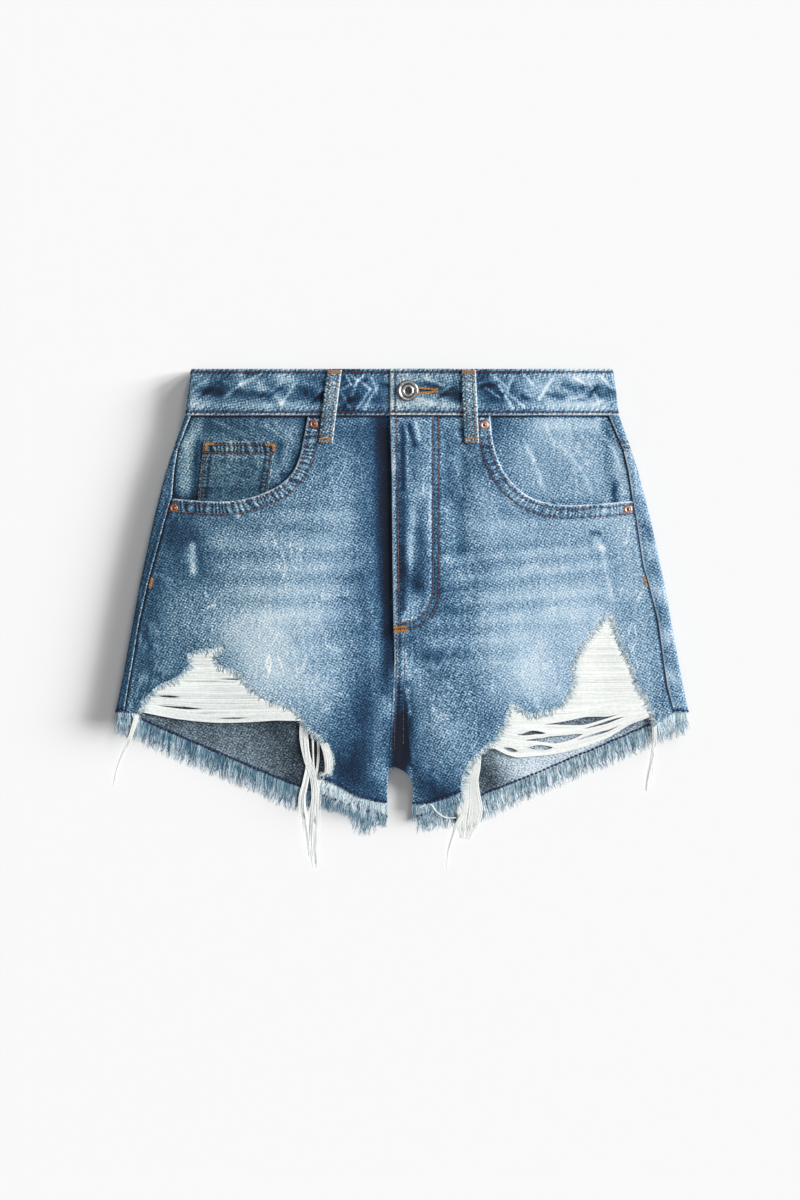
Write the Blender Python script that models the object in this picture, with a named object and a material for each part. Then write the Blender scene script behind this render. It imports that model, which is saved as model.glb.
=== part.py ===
"""High-waisted denim shorts with ripped fronts and frayed hems, laid flat with the front up.

The shorts are a flattened tube: yokes and back panels lie on the floor and wrap round the
side folds to the side seams, the front panels lie over them, and the waistband is one
strip whose left end is lapped over its right end. Right and left are the wearer's, so
the right side is at -X. Lengths are in millimetres until spot() turns them into metres.
A place on the garment is (x, drop), where drop is the distance below the waist's edge.
"""
import math
import random

import bmesh
import bpy
import numpy as np
from mathutils import Vector
from mathutils.geometry import delaunay_2d_cdt

MM = 0.001

# Driving sizes
LENGTH = 439.0            # waist edge to the tip of the longest loose thread
DENIM = 1.2               # one layer of denim
GAP = 0.3                 # between pieces that are sewn together or lie on each other
FLAT_HEIGHT = 6.0         # floor to the top of the front panels
BAND_DROP = 37.5          # height of the waistband
BAND_WALL = 2.0           # the waistband is doubled
BAND_HEIGHT = 6.2         # floor to the top of the waistband's front
GRID = 15.0               # spacing of the points inside a panel
FOLD_STEPS = 4            # facets round a side fold

# Side folds: half width of the shorts, and how far in from the fold each side seam lies
SILHOUETTE = (            # drop, half width
    (0, 173.3), (38, 178.3), (60, 186.0), (83, 193.8), (123, 204.0),
    (177, 215.6), (247, 228.3), (281, 235.2), (380, 258.0),
)
SIDE_SEAM = (             # drop, inset on the right, inset on the left
    (38, 5.3, 8.7), (66, 4.2, 6.5), (104, 10.7, 10.5), (143, 9.0, 13.4), (160, 7.8, 14.4),
    (205, 5.7, 11.0), (260, 6.6, 13.5), (290, 7.8, 11.7),
)
SEAM_COLUMN = {"right": 1, "left": 2}
SIGN = {"right": -1, "left": 1}

# Centre front: edge of the left panel, which laps over the right one along the fly
CENTRE_SEAM = (           # drop, x
    (38, -9.8), (90, -8.5), (147, -8.1), (208, -7.1), (237, -6.4), (263, -7.5),
    (293, -9.2), (314, -10.3), (325, -10.7),
)
FLY_END = 216.0
FLY_UNDERLAP = 8.0        # x that the right panel reaches beneath the left one
FLY_LAP = DENIM + 2 * GAP
FLY_LAP_REACH = 44.0      # x at which the left panel is down again
FLY_LAP_FADE = 32.0       # drop over which it comes down below the fly
CROTCH = ((-10.7, 325.0), (-4.8, 326.4), (1.9, 329.6), (7.4, 335.0))
INNER_LEG = {             # front panels below the crotch
    "right": ((-10.7, 325.0), (-11.6, 340.0), (-12.4, 356.0)),
    "left": ((7.4, 335.0), (9.0, 343.0), (8.6, 357.0)),
}

# Pocket mouths, from the waistband to the side seam
MOUTH = {
    "right": ((-77.1, 37.5), (-80.4, 54.4), (-83.6, 70.0), (-90.0, 84.5), (-103.0, 96.0),
              (-125.0, 105.0), (-150.0, 108.1), (-189.6, 105.6)),
    "left": ((72.3, 37.5), (74.9, 59.4), (80.7, 77.8), (90.5, 92.8), (106.0, 104.8),
             (128.0, 110.6), (155.0, 110.3), (189.9, 107.5)),
}
FACING_UNDER = 15.0       # how far a facing runs on beneath the front panel
FACING_WALL = 1.0
FACING_TOP = FLAT_HEIGHT - DENIM - 0.5
COIN_POCKET = ((-103.4, 60.8), (-163.2, 60.2), (-167.5, 100.0))

# Rips, from the outer end of the missing hem, over the top, to its inner end
RIP = {
    "right": ((-215.0, 281.5), (-212.5, 272.6), (-205.8, 266.0), (-195.7, 258.4), (-182.0, 251.5),
              (-174.8, 244.1), (-174.0, 234.0), (-165.6, 230.7), (-153.9, 229.1), (-144.5, 224.0),
              (-147.3, 230.6), (-153.9, 236.5), (-151.0, 243.5), (-137.2, 247.5), (-123.8, 262.6),
              (-113.7, 269.3), (-90.4, 278.3), (-81.8, 286.5), (-75.3, 296.0), (-60.2, 307.8),
              (-56.8, 322.8), (-58.5, 331.2), (-67.0, 335.6)),
    "left": ((208.0, 291.0), (205.3, 282.7), (201.1, 270.9), (192.7, 259.2), (187.0, 240.6),
             (177.0, 220.7), (171.6, 201.0), (161.9, 207.3), (149.2, 224.1), (141.0, 238.0),
             (140.1, 259.2), (133.5, 273.5), (120.9, 280.0), (109.1, 283.2), (97.4, 280.8),
             (90.8, 274.2), (86.6, 279.1), (84.9, 289.3), (80.7, 299.4), (65.6, 312.8),
             (54.0, 324.5), (50.6, 332.8), (49.5, 346.8)),
}
FRONT_HEM = {             # what is left of it beside the crotch, from the rip to the inner leg
    "right": ((-55.2, 340.0), (-38.5, 349.6), (-25.1, 353.9)),
    "left": ((40.0, 351.0), (32.1, 353.7), (22.1, 356.6)),
}
FRONT_HEM_LINE = (        # |x|, drop: where the whole front hem would run
    (10, 357.5), (32, 352.0), (49, 345.5), (67, 336.0), (212, 286.0), (235, 280.5),
)
BACK_HEM = (              # |x|, drop
    (12, 368.0), (50, 356.0), (83, 343.0), (104, 335.0), (144, 318.0), (174, 305.5),
    (214, 287.5), (235, 281.5), (250, 281.0),
)
SIDE_HEM = 281.4          # drop of the hem at the side seams
BACK_CROTCH = {"right": ((0.0, 330.0), (7.0, 334.5), (11.5, 345.0)),
               "left": ((0.0, 330.0), (4.5, 333.5), (8.0, 341.0))}

# Webs of weft threads in the rips, hung between the rip's sides
WEB_HEM = {
    "right": ((-103.7, 287.7), (-123.8, 289.0), (-153.9, 289.3), (-180.7, 287.7), (-197.5, 285.1)),
    "left": ((85.7, 316.0), (99.1, 318.3), (115.9, 316.6), (132.6, 313.6), (149.2, 309.5),
             (166.0, 302.7), (182.8, 293.5)),
}
WEB_SLITS = {             # x and drop of each end, rise of the middle, width
    "right": (),
    "left": ((112.0, 292.4, 189.0, 272.6, -2.5, 5.0), (117.0, 301.2, 149.0, 298.2, -1.2, 5.2)),
}
WEB_RIP_ROWS = {"right": (0, 18), "left": (1, 20)}   # rows of RIP that a web fills
WEB_WALL = 1.0
WEB_DEPTH = 0.4           # a web lies this much lower than the cloth around it
WEB_SAG = 1.2
RIB_PITCH = 7.0           # ridges of gathered threads
RIB_RISE = 0.3

# Back: yoke seam, and what the shorts lie on
YOKE_SIDE = 66.0
YOKE_CENTRE = 103.0
BACK_POCKET = ((44.0, 107.0), (166.0, 90.5), (160.0, 196.0), (108.0, 224.0), (54.0, 208.0))
LOOP_WIDTH = 12.4
LOOP_END = 60.6
BACK_LOOPS = (("right", -112.0), ("centre", 0.0), ("left", 112.0))
LIFT = DENIM + GAP        # the back rises over its pockets and loops
LIFT_RAMP = 7.0
LIFT_AWAY = (1.0, 1.0 + LIFT_RAMP / 2, 1.0 + LIFT_RAMP)   # from their edges

FRONT_LOOPS = (           # side, x of the middle at the waist edge, x at the lower end
    ("right", -55.3, -62.9), ("left", 54.4, 57.1),
)
LOOP_WALL = 1.4
LOOP_ARCH = (             # drop, rise over the waistband or the panel beneath
    (0, 0.3), (5, 0.3), (12, 0.9), (20, 1.3), (31, 1.0), (41, 1.0), (51, 0.3), (62, 0.3),
)

# Waistband ends, button and buttonhole
BAND_LAP_END = -10.0      # x of the left end, on top
BAND_UNDERLAP = 32.0      # x of the right end, beneath
BAND_LAP_REACH = 46.0
BAND_LAP = BAND_WALL + GAP
BUTTON_AT = (5.1, 17.5)
BUTTON_RADIUS = 8.5
SHANK_RADIUS = 1.8
BUTTONHOLE_EYE = 2.4
BUTTONHOLE_END = 25.0
BUTTONHOLE_SLIT = 0.7
RIVET_RADIUS = 3.45
RIVETS = (                # name, x, drop
    ("right_centre", -72.4, 44.6), ("right_side", -187.0, 113.6),
    ("left_centre", 67.6, 45.4), ("left_side", 185.4, 114.6),
)

# Largest folds of the front, each between two places
FOLDS = (                 # x, drop, x, drop, spread, rise
    (-17, 56, -16, 228, 7.0, -1.3),      # beside the fly
    (43, 70, 55, 222, 8.0, -0.8),        # below the left belt loop
    (33, 110, 42, 262, 6.0, 0.4),
    (-3, 268, -4, 330, 8.0, -2.5),       # valley above the crotch
    (-22, 275, -23, 350, 5.0, -0.9),
    (16, 240, 19, 350, 5.5, -0.9),
    (-30, 296, -84, 238, 8.0, 0.4),      # drawn from the crotch to the hips
    (36, 292, 92, 240, 8.0, 0.4),
)
FOLD_FADE = 18.0
HEM_SETTLE = 1.7          # the front hem lies lower
HEM_SETTLE_REACH = 32.0
HEM_SETTLE_SIDE = (16.0, 46.0)      # but not this near to a side fold
INNER_SETTLE_REACH = 9.0            # so do the inner edges of the legs
INNER_SETTLE_DROPS = (312.0, 332.0)

# Fray: locks of loose ends whose roots are fused in a strip beside the hem
LOCK_PITCH = 3.5
LOCK_LENGTH = 14.0
CORNER_LOCK = 10.0        # shorter where a hem turns inwards
STRIP_WIDTH = 2.0
STRIP_WALL = 0.9
STRIP_HEIGHT = 0.2        # floor to the underside of the back hem's strip
LOCK_SPREAD = (0.72, 1.12)          # shortest and longest, as a share of LOCK_LENGTH
LOCK_LEAN = 0.85                    # most that a tip leans to a side
LOCK_JOINTS = ((0.55, 0.68, 0.35), (1.0, 0.3, 1.0))   # share of length, taper, share of droop
LOCK_REST = {"back": 0.55, "front": 1.75}   # height of a lock's tip
FRINGE_END = 1.5          # a strip ends this far short of its hem
RIP_CLEAR = 5.0           # and this far from the threads that hang out of a rip
HEM_FOLD_X = 233.0        # |x| where the hem turns round the side fold
STRAND = 1.1              # width of a strand in a hanging bundle
STRAND_CLEAR = 0.75       # from what a strand lies on to its middle
BUNDLE_HEIGHT = 3.1       # floor to the underside of a bundle's strip
BUNDLES = (
    # name, strip from, strip to, knee (x, drop), knee spread, tips (x, drop)
    ("inner_right", (-80.5, 292.5), (-61.5, 310.5), (-73.7, 336.0), 1.5,
     ((-86.0, 392), (-83.6, 410), (-81.2, 400), (-77.6, 378), (-76.4, 404), (-74.2, 411),
      (-71.8, 396), (-69.6, 372))),
    ("inner_left", (53.6, 330.5), (70.0, 313.5), (59.2, 364.0), 1.85,
     ((39.4, 439), (50.6, 392), (53.6, 384), (56.0, 389), (58.2, 376), (60.4, 386),
      (62.6, 368.5), (64.8, 371))),
    ("outer_right", (-214.0, 282.3), (-208.6, 283.4), (-216.0, 303.0), 1.9,
     ((-236.5, 338), (-230.5, 342), (-221.5, 326))),
    ("outer_left", (199.0, 287.6), (205.0, 286.6), (203.4, 322.0), 1.8,
     ((193.5, 353), (197.6, 340), (201.0, 350), (204.6, 344))),
)

# Linear colours of the finishes: colour, roughness, metallic
FINISHES = {
    "denim_front": ((0.16, 0.27, 0.38), 0.85, 0.0),
    "denim_back": ((0.11, 0.19, 0.28), 0.85, 0.0),
    "denim_band": ((0.14, 0.23, 0.32), 0.85, 0.0),
    "weft_thread": ((0.78, 0.80, 0.79), 0.9, 0.0),
    "fray": ((0.42, 0.52, 0.58), 0.9, 0.0),
    "silver_metal": ((0.55, 0.54, 0.52), 0.3, 1.0),
    "copper_metal": ((0.55, 0.24, 0.13), 0.35, 1.0),
}


# ---------------------------------------------------------------- small helpers

def spot(x, drop, z):
    """A place on the garment as a point in metres, with the origin under its middle."""
    return Vector((x, LENGTH / 2 - drop, z)) * MM


def look_up(rows, column, key):
    return float(np.interp(key, [row[0] for row in rows], [row[column] for row in rows]))


def ease(t):
    """Smooth step from 0 at t = 0 to 1 at t = 1."""
    t = min(max(t, 0.0), 1.0)
    return t * t * (3 - 2 * t)


def ramp(value, start, end):
    return ease((value - start) / (end - start))


def curve_through(points, step):
    """Points about `step` apart on a Catmull-Rom curve through the given ones."""
    pts = [np.array(p, float) for p in points]
    pts = [2 * pts[0] - pts[1]] + pts + [2 * pts[-1] - pts[-2]]
    out = []
    for a, b, c, d in zip(pts, pts[1:], pts[2:], pts[3:]):
        count = max(1, round(np.linalg.norm(c - b) / step))
        for k in range(count):
            t = k / count
            out.append(tuple(0.5 * (2 * b + (c - a) * t + (2 * a - 5 * b + 4 * c - d) * t ** 2
                                    + (3 * b - a - 3 * c + d) * t ** 3)))
    return out + [tuple(pts[-2])]


def shift(points, distance, closed):
    """Move an outline or a line to its left by a distance, along its mean normals."""
    pts = np.array(points, float)
    before = np.roll(pts, 1, axis=0)
    after = np.roll(pts, -1, axis=0)
    if not closed:
        before[0] = 2 * pts[0] - pts[1]
        after[-1] = 2 * pts[-1] - pts[-2]

    def left(vectors):
        length = np.maximum(np.linalg.norm(vectors, axis=1, keepdims=True), 1e-9)
        return np.column_stack((-vectors[:, 1], vectors[:, 0])) / length

    first, second = left(pts - before), left(after - pts)
    mean = first + second
    mean /= np.maximum(np.linalg.norm(mean, axis=1, keepdims=True), 1e-9)
    stretch = np.maximum(np.sum(mean * first, axis=1, keepdims=True), 0.5)
    return [tuple(p) for p in pts + mean * distance / stretch]


def signed_area(loop):
    pts = np.array(loop)
    nxt = np.roll(pts, -1, axis=0)
    return 0.5 * float(np.sum(pts[:, 0] * nxt[:, 1] - nxt[:, 0] * pts[:, 1]))


def inset(loop, distance):
    return shift(loop, distance if signed_area(loop) > 0 else -distance, closed=True)


def inside(point, loops):
    """Even-odd test, so a hole's loop takes its place out."""
    x, y = point
    odd = False
    for loop in loops:
        for (ax, ay), (bx, by) in zip(loop, loop[1:] + loop[:1]):
            if (ay > y) != (by > y) and x < ax + (y - ay) * (bx - ax) / (by - ay):
                odd = not odd
    return odd


def distance_to(point, segments):
    """Smallest distance from a point to rows of (ax, ay, bx, by)."""
    p = np.array(point)
    a, b = segments[:, :2], segments[:, 2:]
    along = b - a
    t = np.sum((p - a) * along, axis=1) / np.maximum(np.sum(along * along, axis=1), 1e-9)
    nearest = a + along * np.clip(t, 0, 1)[:, None]
    return float(np.min(np.linalg.norm(nearest - p, axis=1)))


def segments_of(line, closed=False):
    ends = line[1:] + line[:1] if closed else line[1:]
    return [(*a, *b) for a, b in zip(line, ends)]


# ---------------------------------------------------------------- the garment's form

def half_width(drop):
    return look_up(SILHOUETTE, 1, drop)


def seam_drops(top, bottom):
    """Drops of a side seam's points, the same ones for all the pieces that meet there."""
    rows = {drop for drop, *_ in SILHOUETTE + SIDE_SEAM if top < drop < bottom}
    return [top] + sorted(rows) + [bottom]


def seam_x(side, drop):
    """X of a side seam, which lies on the front beside the fold."""
    return SIGN[side] * (half_width(drop) - look_up(SIDE_SEAM, SEAM_COLUMN[side], drop))


def fold_rise(fold, x, drop):
    """Height that one fold adds at a place: a soft ridge or trough between its two ends."""
    x0, drop0, x1, drop1, spread, rise = fold
    along = np.array((x1 - x0, drop1 - drop0), float)
    length = float(np.linalg.norm(along))
    rel = np.array((x - x0, drop - drop0), float)
    t = float(rel @ along) / length
    off = float(along[0] * rel[1] - along[1] * rel[0]) / length
    fade = ease(1 + t / FOLD_FADE) * ease(1 - (t - length) / FOLD_FADE)
    return rise * fade * math.exp(-0.5 * (off / spread) ** 2)


def inner_leg_distance(x, drop):
    """How far a place below the crotch lies from its leg's inner edge."""
    side = "right" if x < -1.5 else "left"
    rows = [(d, ex) for ex, d in INNER_LEG[side]]
    return abs(x - look_up(rows, 1, drop))


def front_height(x, drop):
    """Height of the front panels' upper face."""
    height = FLAT_HEIGHT + sum(fold_rise(fold, x, drop) for fold in FOLDS)
    from_side = half_width(drop) - abs(x)
    above_hem = look_up(FRONT_HEM_LINE, 1, abs(x)) - drop
    height -= HEM_SETTLE * ramp(above_hem, HEM_SETTLE_REACH, 0) * ramp(from_side, *HEM_SETTLE_SIDE)
    lowest = 2 * DENIM + GAP
    inner = ramp(inner_leg_distance(x, drop), INNER_SETTLE_REACH, 0) * ramp(drop, *INNER_SETTLE_DROPS)
    height -= (height - lowest) * inner
    return max(height, lowest)


def left_front_height(x, drop):
    """The left panel is raised along the fly, where it laps over the right one."""
    lap = ramp(x, FLY_LAP_REACH, FLY_UNDERLAP)
    return front_height(x, drop) + FLY_LAP * lap * ramp(drop, FLY_END + FLY_LAP_FADE, FLY_END)


def mirrored(points, side):
    return [(SIGN[side] * x, drop) for x, drop in points]


def loop_outline(x_top, x_end):
    """A belt loop from just below the waist's edge to its lower end."""
    half = LOOP_WIDTH / 2
    return [(x_top - half, GAP), (x_top + half, GAP), (x_end + half, LOOP_END), (x_end - half, LOOP_END)]


UNDER_BACK = ([mirrored(BACK_POCKET, side) for side in SIGN]
              + [loop_outline(x, x) for _, x in BACK_LOOPS])
UNDER_SEGMENTS = [np.array(segments_of(list(loop), closed=True)) for loop in UNDER_BACK]


def back_lift(x, drop):
    """Height of the back's lower face: on the floor, but over its pockets and loops."""
    lift = 0.0
    for loop, segments in zip(UNDER_BACK, UNDER_SEGMENTS):
        away = 0.0 if inside((x, drop), [loop]) else distance_to((x, drop), segments)
        lift = max(lift, LIFT * ramp(away, LIFT_AWAY[-1], LIFT_AWAY[0]))
    return lift


def round_fold(flat, radius, past, height_at, lift_at):
    """Walk from the floor round a side fold: past is the way gone beyond the flat part."""
    if past <= 0:
        x = flat + past
        return x, lift_at(x)
    if past < math.pi * radius:
        turn = past / radius
        return flat + radius * math.sin(turn), radius * (1 - math.cos(turn))
    x = flat - (past - math.pi * radius)
    return x, height_at(x)


# Unrolled, a back piece runs from the centre back (0) over the fold to the side seam.
FOLD_RADIUS = FLAT_HEIGHT / 2
FOLD_TURNS = [math.pi * FOLD_RADIUS * k / FOLD_STEPS for k in range(FOLD_STEPS + 1)]


def unrolled_seam(side, drop):
    inset_of_seam = look_up(SIDE_SEAM, SEAM_COLUMN[side], drop)
    return half_width(drop) + (math.pi - 2) * FOLD_RADIUS + inset_of_seam


def place_back(side):
    def place(along, drop):
        flat = half_width(drop) - FOLD_RADIUS
        x, z = round_fold(flat, FOLD_RADIUS, along - flat,
                          lambda _: FLAT_HEIGHT, lambda at: back_lift(SIGN[side] * at, drop))
        return spot(SIGN[side] * x, drop, z)
    return place


def fold_lines(top, bottom):
    """Creases round the side fold, from one drop to another."""
    rows = np.linspace(top, bottom, max(2, round((bottom - top) / GRID) + 1))
    return [[(half_width(d) - FOLD_RADIUS + past, d) for d in rows] for past in FOLD_TURNS]


def across_fold(drop_at, side, flat_steps):
    """Outline points of a back piece's edge: its flat part, over the fold, to the seam."""
    fold_drop = drop_at(HEM_FOLD_X)
    flat = half_width(fold_drop) - FOLD_RADIUS
    seam = unrolled_seam(side, fold_drop)
    steps = [s for s in flat_steps if s < flat - 2.0]
    steps += [flat + past for past in FOLD_TURNS if flat + past < seam - 1.0] + [seam]
    return [(s, drop_at(s)) for s in steps]


def loop_steps():
    """Places along the waist where the back leaves the floor beside a back belt loop."""
    edges = {abs(x + way * (LOOP_WIDTH / 2 + away))
             for _, x in BACK_LOOPS for way in (-1, 1) for away in LIFT_AWAY}
    return [0.0] + sorted(edges) + [150.0]


def lift_creases(side):
    """Creases where the back leaves the floor beside what it lies on."""
    lines = []
    for loop in UNDER_BACK:
        for away in LIFT_AWAY:
            ring = inset(list(loop), -away)
            for a, b in zip(ring, ring[1:] + ring[:1]):
                count = max(1, round(math.dist(a, b) / (1.6 * GRID)))
                line = [tuple(np.array(a) + (np.array(b) - np.array(a)) * k / count)
                        for k in range(count + 1)]
                lines.append([(SIGN[side] * x, drop) for x, drop in line])
    return lines


# ---------------------------------------------------------------- making objects

def material(name):
    found = bpy.data.materials.get(name)
    if found:
        return found
    colour, roughness, metallic = FINISHES[name]
    made = bpy.data.materials.new(name)
    made.use_nodes = True
    shader = made.node_tree.nodes["Principled BSDF"]
    shader.inputs["Base Color"].default_value = (*colour, 1.0)
    shader.inputs["Roughness"].default_value = roughness
    shader.inputs["Metallic"].default_value = metallic
    return made


def add_object(name, mesh, finish):
    made = bpy.data.objects.new(name, mesh)
    mesh.materials.append(material(finish))
    bpy.context.scene.collection.objects.link(made)
    return made


def object_from_bmesh(name, bm, finish):
    bmesh.ops.recalc_face_normals(bm, faces=bm.faces)
    mesh = bpy.data.meshes.new(name)
    bm.to_mesh(mesh)
    bm.free()
    return add_object(name, mesh, finish)


def cloth(name, outline, place, finish, wall=DENIM, holes=(), creases=(), grid=GRID, flip=True):
    """Cut a flat piece, triangulate it, lay its outer face with `place` and thicken it inwards.

    `flip` turns the outer face up where `place` keeps x and drop as they are.
    """
    loops = [inset(list(outline), GAP / 2)] + [inset(list(hole), -GAP / 2) for hole in holes]
    loops = [loop if signed_area(loop) > 0 else loop[::-1] for loop in loops]
    borders = np.array([row for loop in loops for row in segments_of(loop, closed=True)])
    points, edges, held = [], [], list(borders)
    for loop in loops:
        first = len(points)
        points += loop
        edges += [(first + k, first + (k + 1) % len(loop)) for k in range(len(loop))]
    for line in creases:
        kept = [inside(p, loops) and distance_to(p, borders) > 1.0 for p in line]
        for k, (point, keep) in enumerate(zip(line, kept)):
            if keep:
                points.append(point)
                held.append((*point, *point))
            if keep and k and kept[k - 1]:
                edges.append((len(points) - 2, len(points) - 1))
                held.append((*line[k - 1], *point))
    held = np.array(held)
    low, high = np.min(loops[0], axis=0), np.max(loops[0], axis=0)
    rows = max(1, round((high[1] - low[1]) / (grid * 0.87)))
    for row in range(1, rows):
        y = low[1] + (high[1] - low[1]) * row / rows
        for x in np.arange(low[0] + grid * (0.25 + 0.5 * (row % 2)), high[0], grid):
            if inside((x, y), loops) and distance_to((x, y), held) > 0.42 * grid:
                points.append((x, y))
    starts = np.cumsum([0] + [len(loop) for loop in loops])
    regions = [list(range(a, b)) for a, b in zip(starts, starts[1:])]
    flat, _, triangles, _, _, region_of = delaunay_2d_cdt(
        [Vector(p) for p in points], edges, regions, 0, 1e-5)
    triangles = [t for t, found in zip(triangles, region_of) if list(found) == [0]]
    used = sorted({k for t in triangles for k in t})
    index = {k: n for n, k in enumerate(used)}
    faces = [[index[k] for k in (reversed(t) if flip else t)] for t in triangles]
    mesh = bpy.data.meshes.new(name)
    mesh.from_pydata([place(*flat[k]) for k in used], [], faces)
    made = add_object(name, mesh, finish)
    thicken = made.modifiers.new("wall", "SOLIDIFY")
    thicken.thickness = wall * MM
    thicken.offset = -1.0
    return made


def turned(name, profile, x, drop, finish, steps):
    """A round piece from (radius, height) rows, closed on its axis."""
    bm = bmesh.new()
    centre = spot(x, drop, 0)
    verts = [bm.verts.new(centre + Vector((r, 0, z)) * MM) for r, z in profile]
    edges = [bm.edges.new(pair) for pair in zip(verts, verts[1:])]
    bmesh.ops.spin(bm, geom=verts + edges, cent=centre, axis=(0, 0, 1),
                   angle=2 * math.pi, steps=steps, use_merge=True)
    bmesh.ops.remove_doubles(bm, verts=bm.verts, dist=0.01 * MM)
    made = object_from_bmesh(name, bm, finish)
    made.data.shade_smooth()
    made.data.set_sharp_from_angle(angle=math.radians(40))
    return made


# ---------------------------------------------------------------- panels

def front_outline(side):
    """From the pocket mouth down the side seam, round the rip, up the centre and the top."""
    sign = SIGN[side]
    mouth = curve_through(MOUTH[side], 12)
    mouth_end = mouth[-1][1]
    mouth[-1] = (seam_x(side, mouth_end), mouth_end)
    seam = [(seam_x(side, d), d) for d in seam_drops(mouth_end, SIDE_HEM)[1:]]
    inner = curve_through(INNER_LEG[side], 10)
    hem = curve_through((RIP[side][-1],) + FRONT_HEM[side] + (inner[-1],), 12)
    drops = [d for d, _ in CENTRE_SEAM]
    if side == "right":
        centre = [(look_up(CENTRE_SEAM, 1, d), d) for d in reversed(drops[1:-1]) if d > FLY_END]
        centre += [(look_up(CENTRE_SEAM, 1, FLY_END), FLY_END), (FLY_UNDERLAP, FLY_END - 9)]
        centre += [(FLY_UNDERLAP, d) for d in np.linspace(190, BAND_DROP, 8)]
        leg = inner[::-1]
    else:
        leg = inner[::-1] + list(CROTCH[::-1])[1:]
        centre = [(x, d) for d, x in reversed(CENTRE_SEAM[1:-1])]
        centre += [(look_up(CENTRE_SEAM, 1, BAND_DROP), BAND_DROP)]
    top = [(sign * x, BAND_DROP) for x in np.arange(15, abs(mouth[0][0]) - 6, 14)]
    if side == "left":
        top = [(0.0, BAND_DROP)] + top
    return mouth + seam + list(RIP[side]) + hem[1:-1] + leg + centre + top


def fold_creases():
    """The middle and the flanks of each fold."""
    lines = []
    for x0, drop0, x1, drop1, spread, _ in FOLDS:
        middle = curve_through(((x0, drop0), (x1, drop1)), 14)
        lines += [shift(middle, away * spread, closed=False) for away in (-1.6, 0.0, 1.6)]
    return lines


def inner_creases(side):
    inner = curve_through(INNER_LEG[side], 10)
    out = SIGN[side] * -1
    return [shift(inner, out * away, closed=False) for away in (INNER_SETTLE_REACH / 2, INNER_SETTLE_REACH)]


def fly_creases():
    return [[(x, d) for d in np.linspace(BAND_DROP + 2, FLY_END + 20, 13)]
            for x in (FLY_UNDERLAP + 1, (FLY_UNDERLAP + FLY_LAP_REACH) / 2, FLY_LAP_REACH)]


def make_fronts():
    for side, height in (("right", front_height), ("left", left_front_height)):
        creases = fold_creases() + inner_creases(side)
        if side == "left":
            creases += fly_creases()
        cloth(f"front_panel_{side}", front_outline(side),
              lambda x, drop, height=height: spot(x, drop, height(x, drop)),
              "denim_front", creases=creases)


def yoke_drop(along):
    return YOKE_CENTRE - (YOKE_CENTRE - YOKE_SIDE) * min(along / 190.0, 1.0)


def back_hem(along):
    return look_up(BACK_HEM, 1, along)


def make_backs():
    for side in SIGN:
        flip = side == "right"
        flat_steps = np.arange(0, 190, 2 * GRID)
        top = across_fold(lambda _: BAND_DROP, side, loop_steps())
        yoke_line = across_fold(yoke_drop, side, flat_steps)
        centre = [(0.0, LOOP_END + away) for away in LIFT_AWAY[::-1]]
        seam = [(unrolled_seam(side, d), d) for d in seam_drops(BAND_DROP, YOKE_SIDE)[1:-1]]
        creases = fold_lines(BAND_DROP + 1.5, YOKE_SIDE - 1.5) + lift_creases(side)
        cloth(f"back_yoke_{side}", top + seam + yoke_line[::-1] + centre, place_back(side),
              "denim_back", creases=creases, flip=flip)
        crotch = curve_through(BACK_CROTCH[side], 8)
        hem = across_fold(back_hem, side, [x for x, _ in BACK_HEM])
        seam = [(unrolled_seam(side, d), d) for d in seam_drops(YOKE_SIDE, SIDE_HEM)[-2:0:-1]]
        centre = [(0.0, d) for d in np.linspace(YOKE_CENTRE, 330, 16)[1:-1]]
        outline = centre + crotch + hem + seam + yoke_line[::-1]
        creases = fold_lines(YOKE_SIDE + 2.5, 279.5) + lift_creases(side)
        cloth(f"back_panel_{side}", outline, place_back(side),
              "denim_back", creases=creases, flip=flip)


def make_pockets():
    for side in SIGN:
        sign = SIGN[side]
        mouth = curve_through(MOUTH[side], 14)
        hidden = shift(mouth, FACING_UNDER * sign, closed=False)
        hidden[0] = (hidden[0][0], BAND_DROP)
        hidden = [p for p in hidden if abs(p[0]) < abs(seam_x(side, p[1]))]
        lower = hidden[-1][1]
        seam = [(seam_x(side, d), d) for d in seam_drops(BAND_DROP, lower)[::-1]]
        cloth(f"pocket_facing_{side}", hidden + seam,
              lambda x, drop: spot(x, drop, FACING_TOP), "denim_back", wall=FACING_WALL, grid=40)
        pocket = mirrored(BACK_POCKET, side)
        cloth(f"back_pocket_{side}", inset(pocket, -GAP / 2),
              lambda x, drop: spot(x, drop, 0.0), "denim_back", grid=60, flip=False)
    mouth = [p for p in curve_through(MOUTH["right"], 8) if -166.0 < p[0] < -106.5]
    lower = [(x, drop - 0.5) for x, drop in mouth]
    cloth("coin_pocket", list(COIN_POCKET) + lower[::-1],
          lambda x, drop: spot(x, drop, FACING_TOP + GAP + FACING_WALL),
          "denim_front", wall=FACING_WALL, grid=40)


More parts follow.
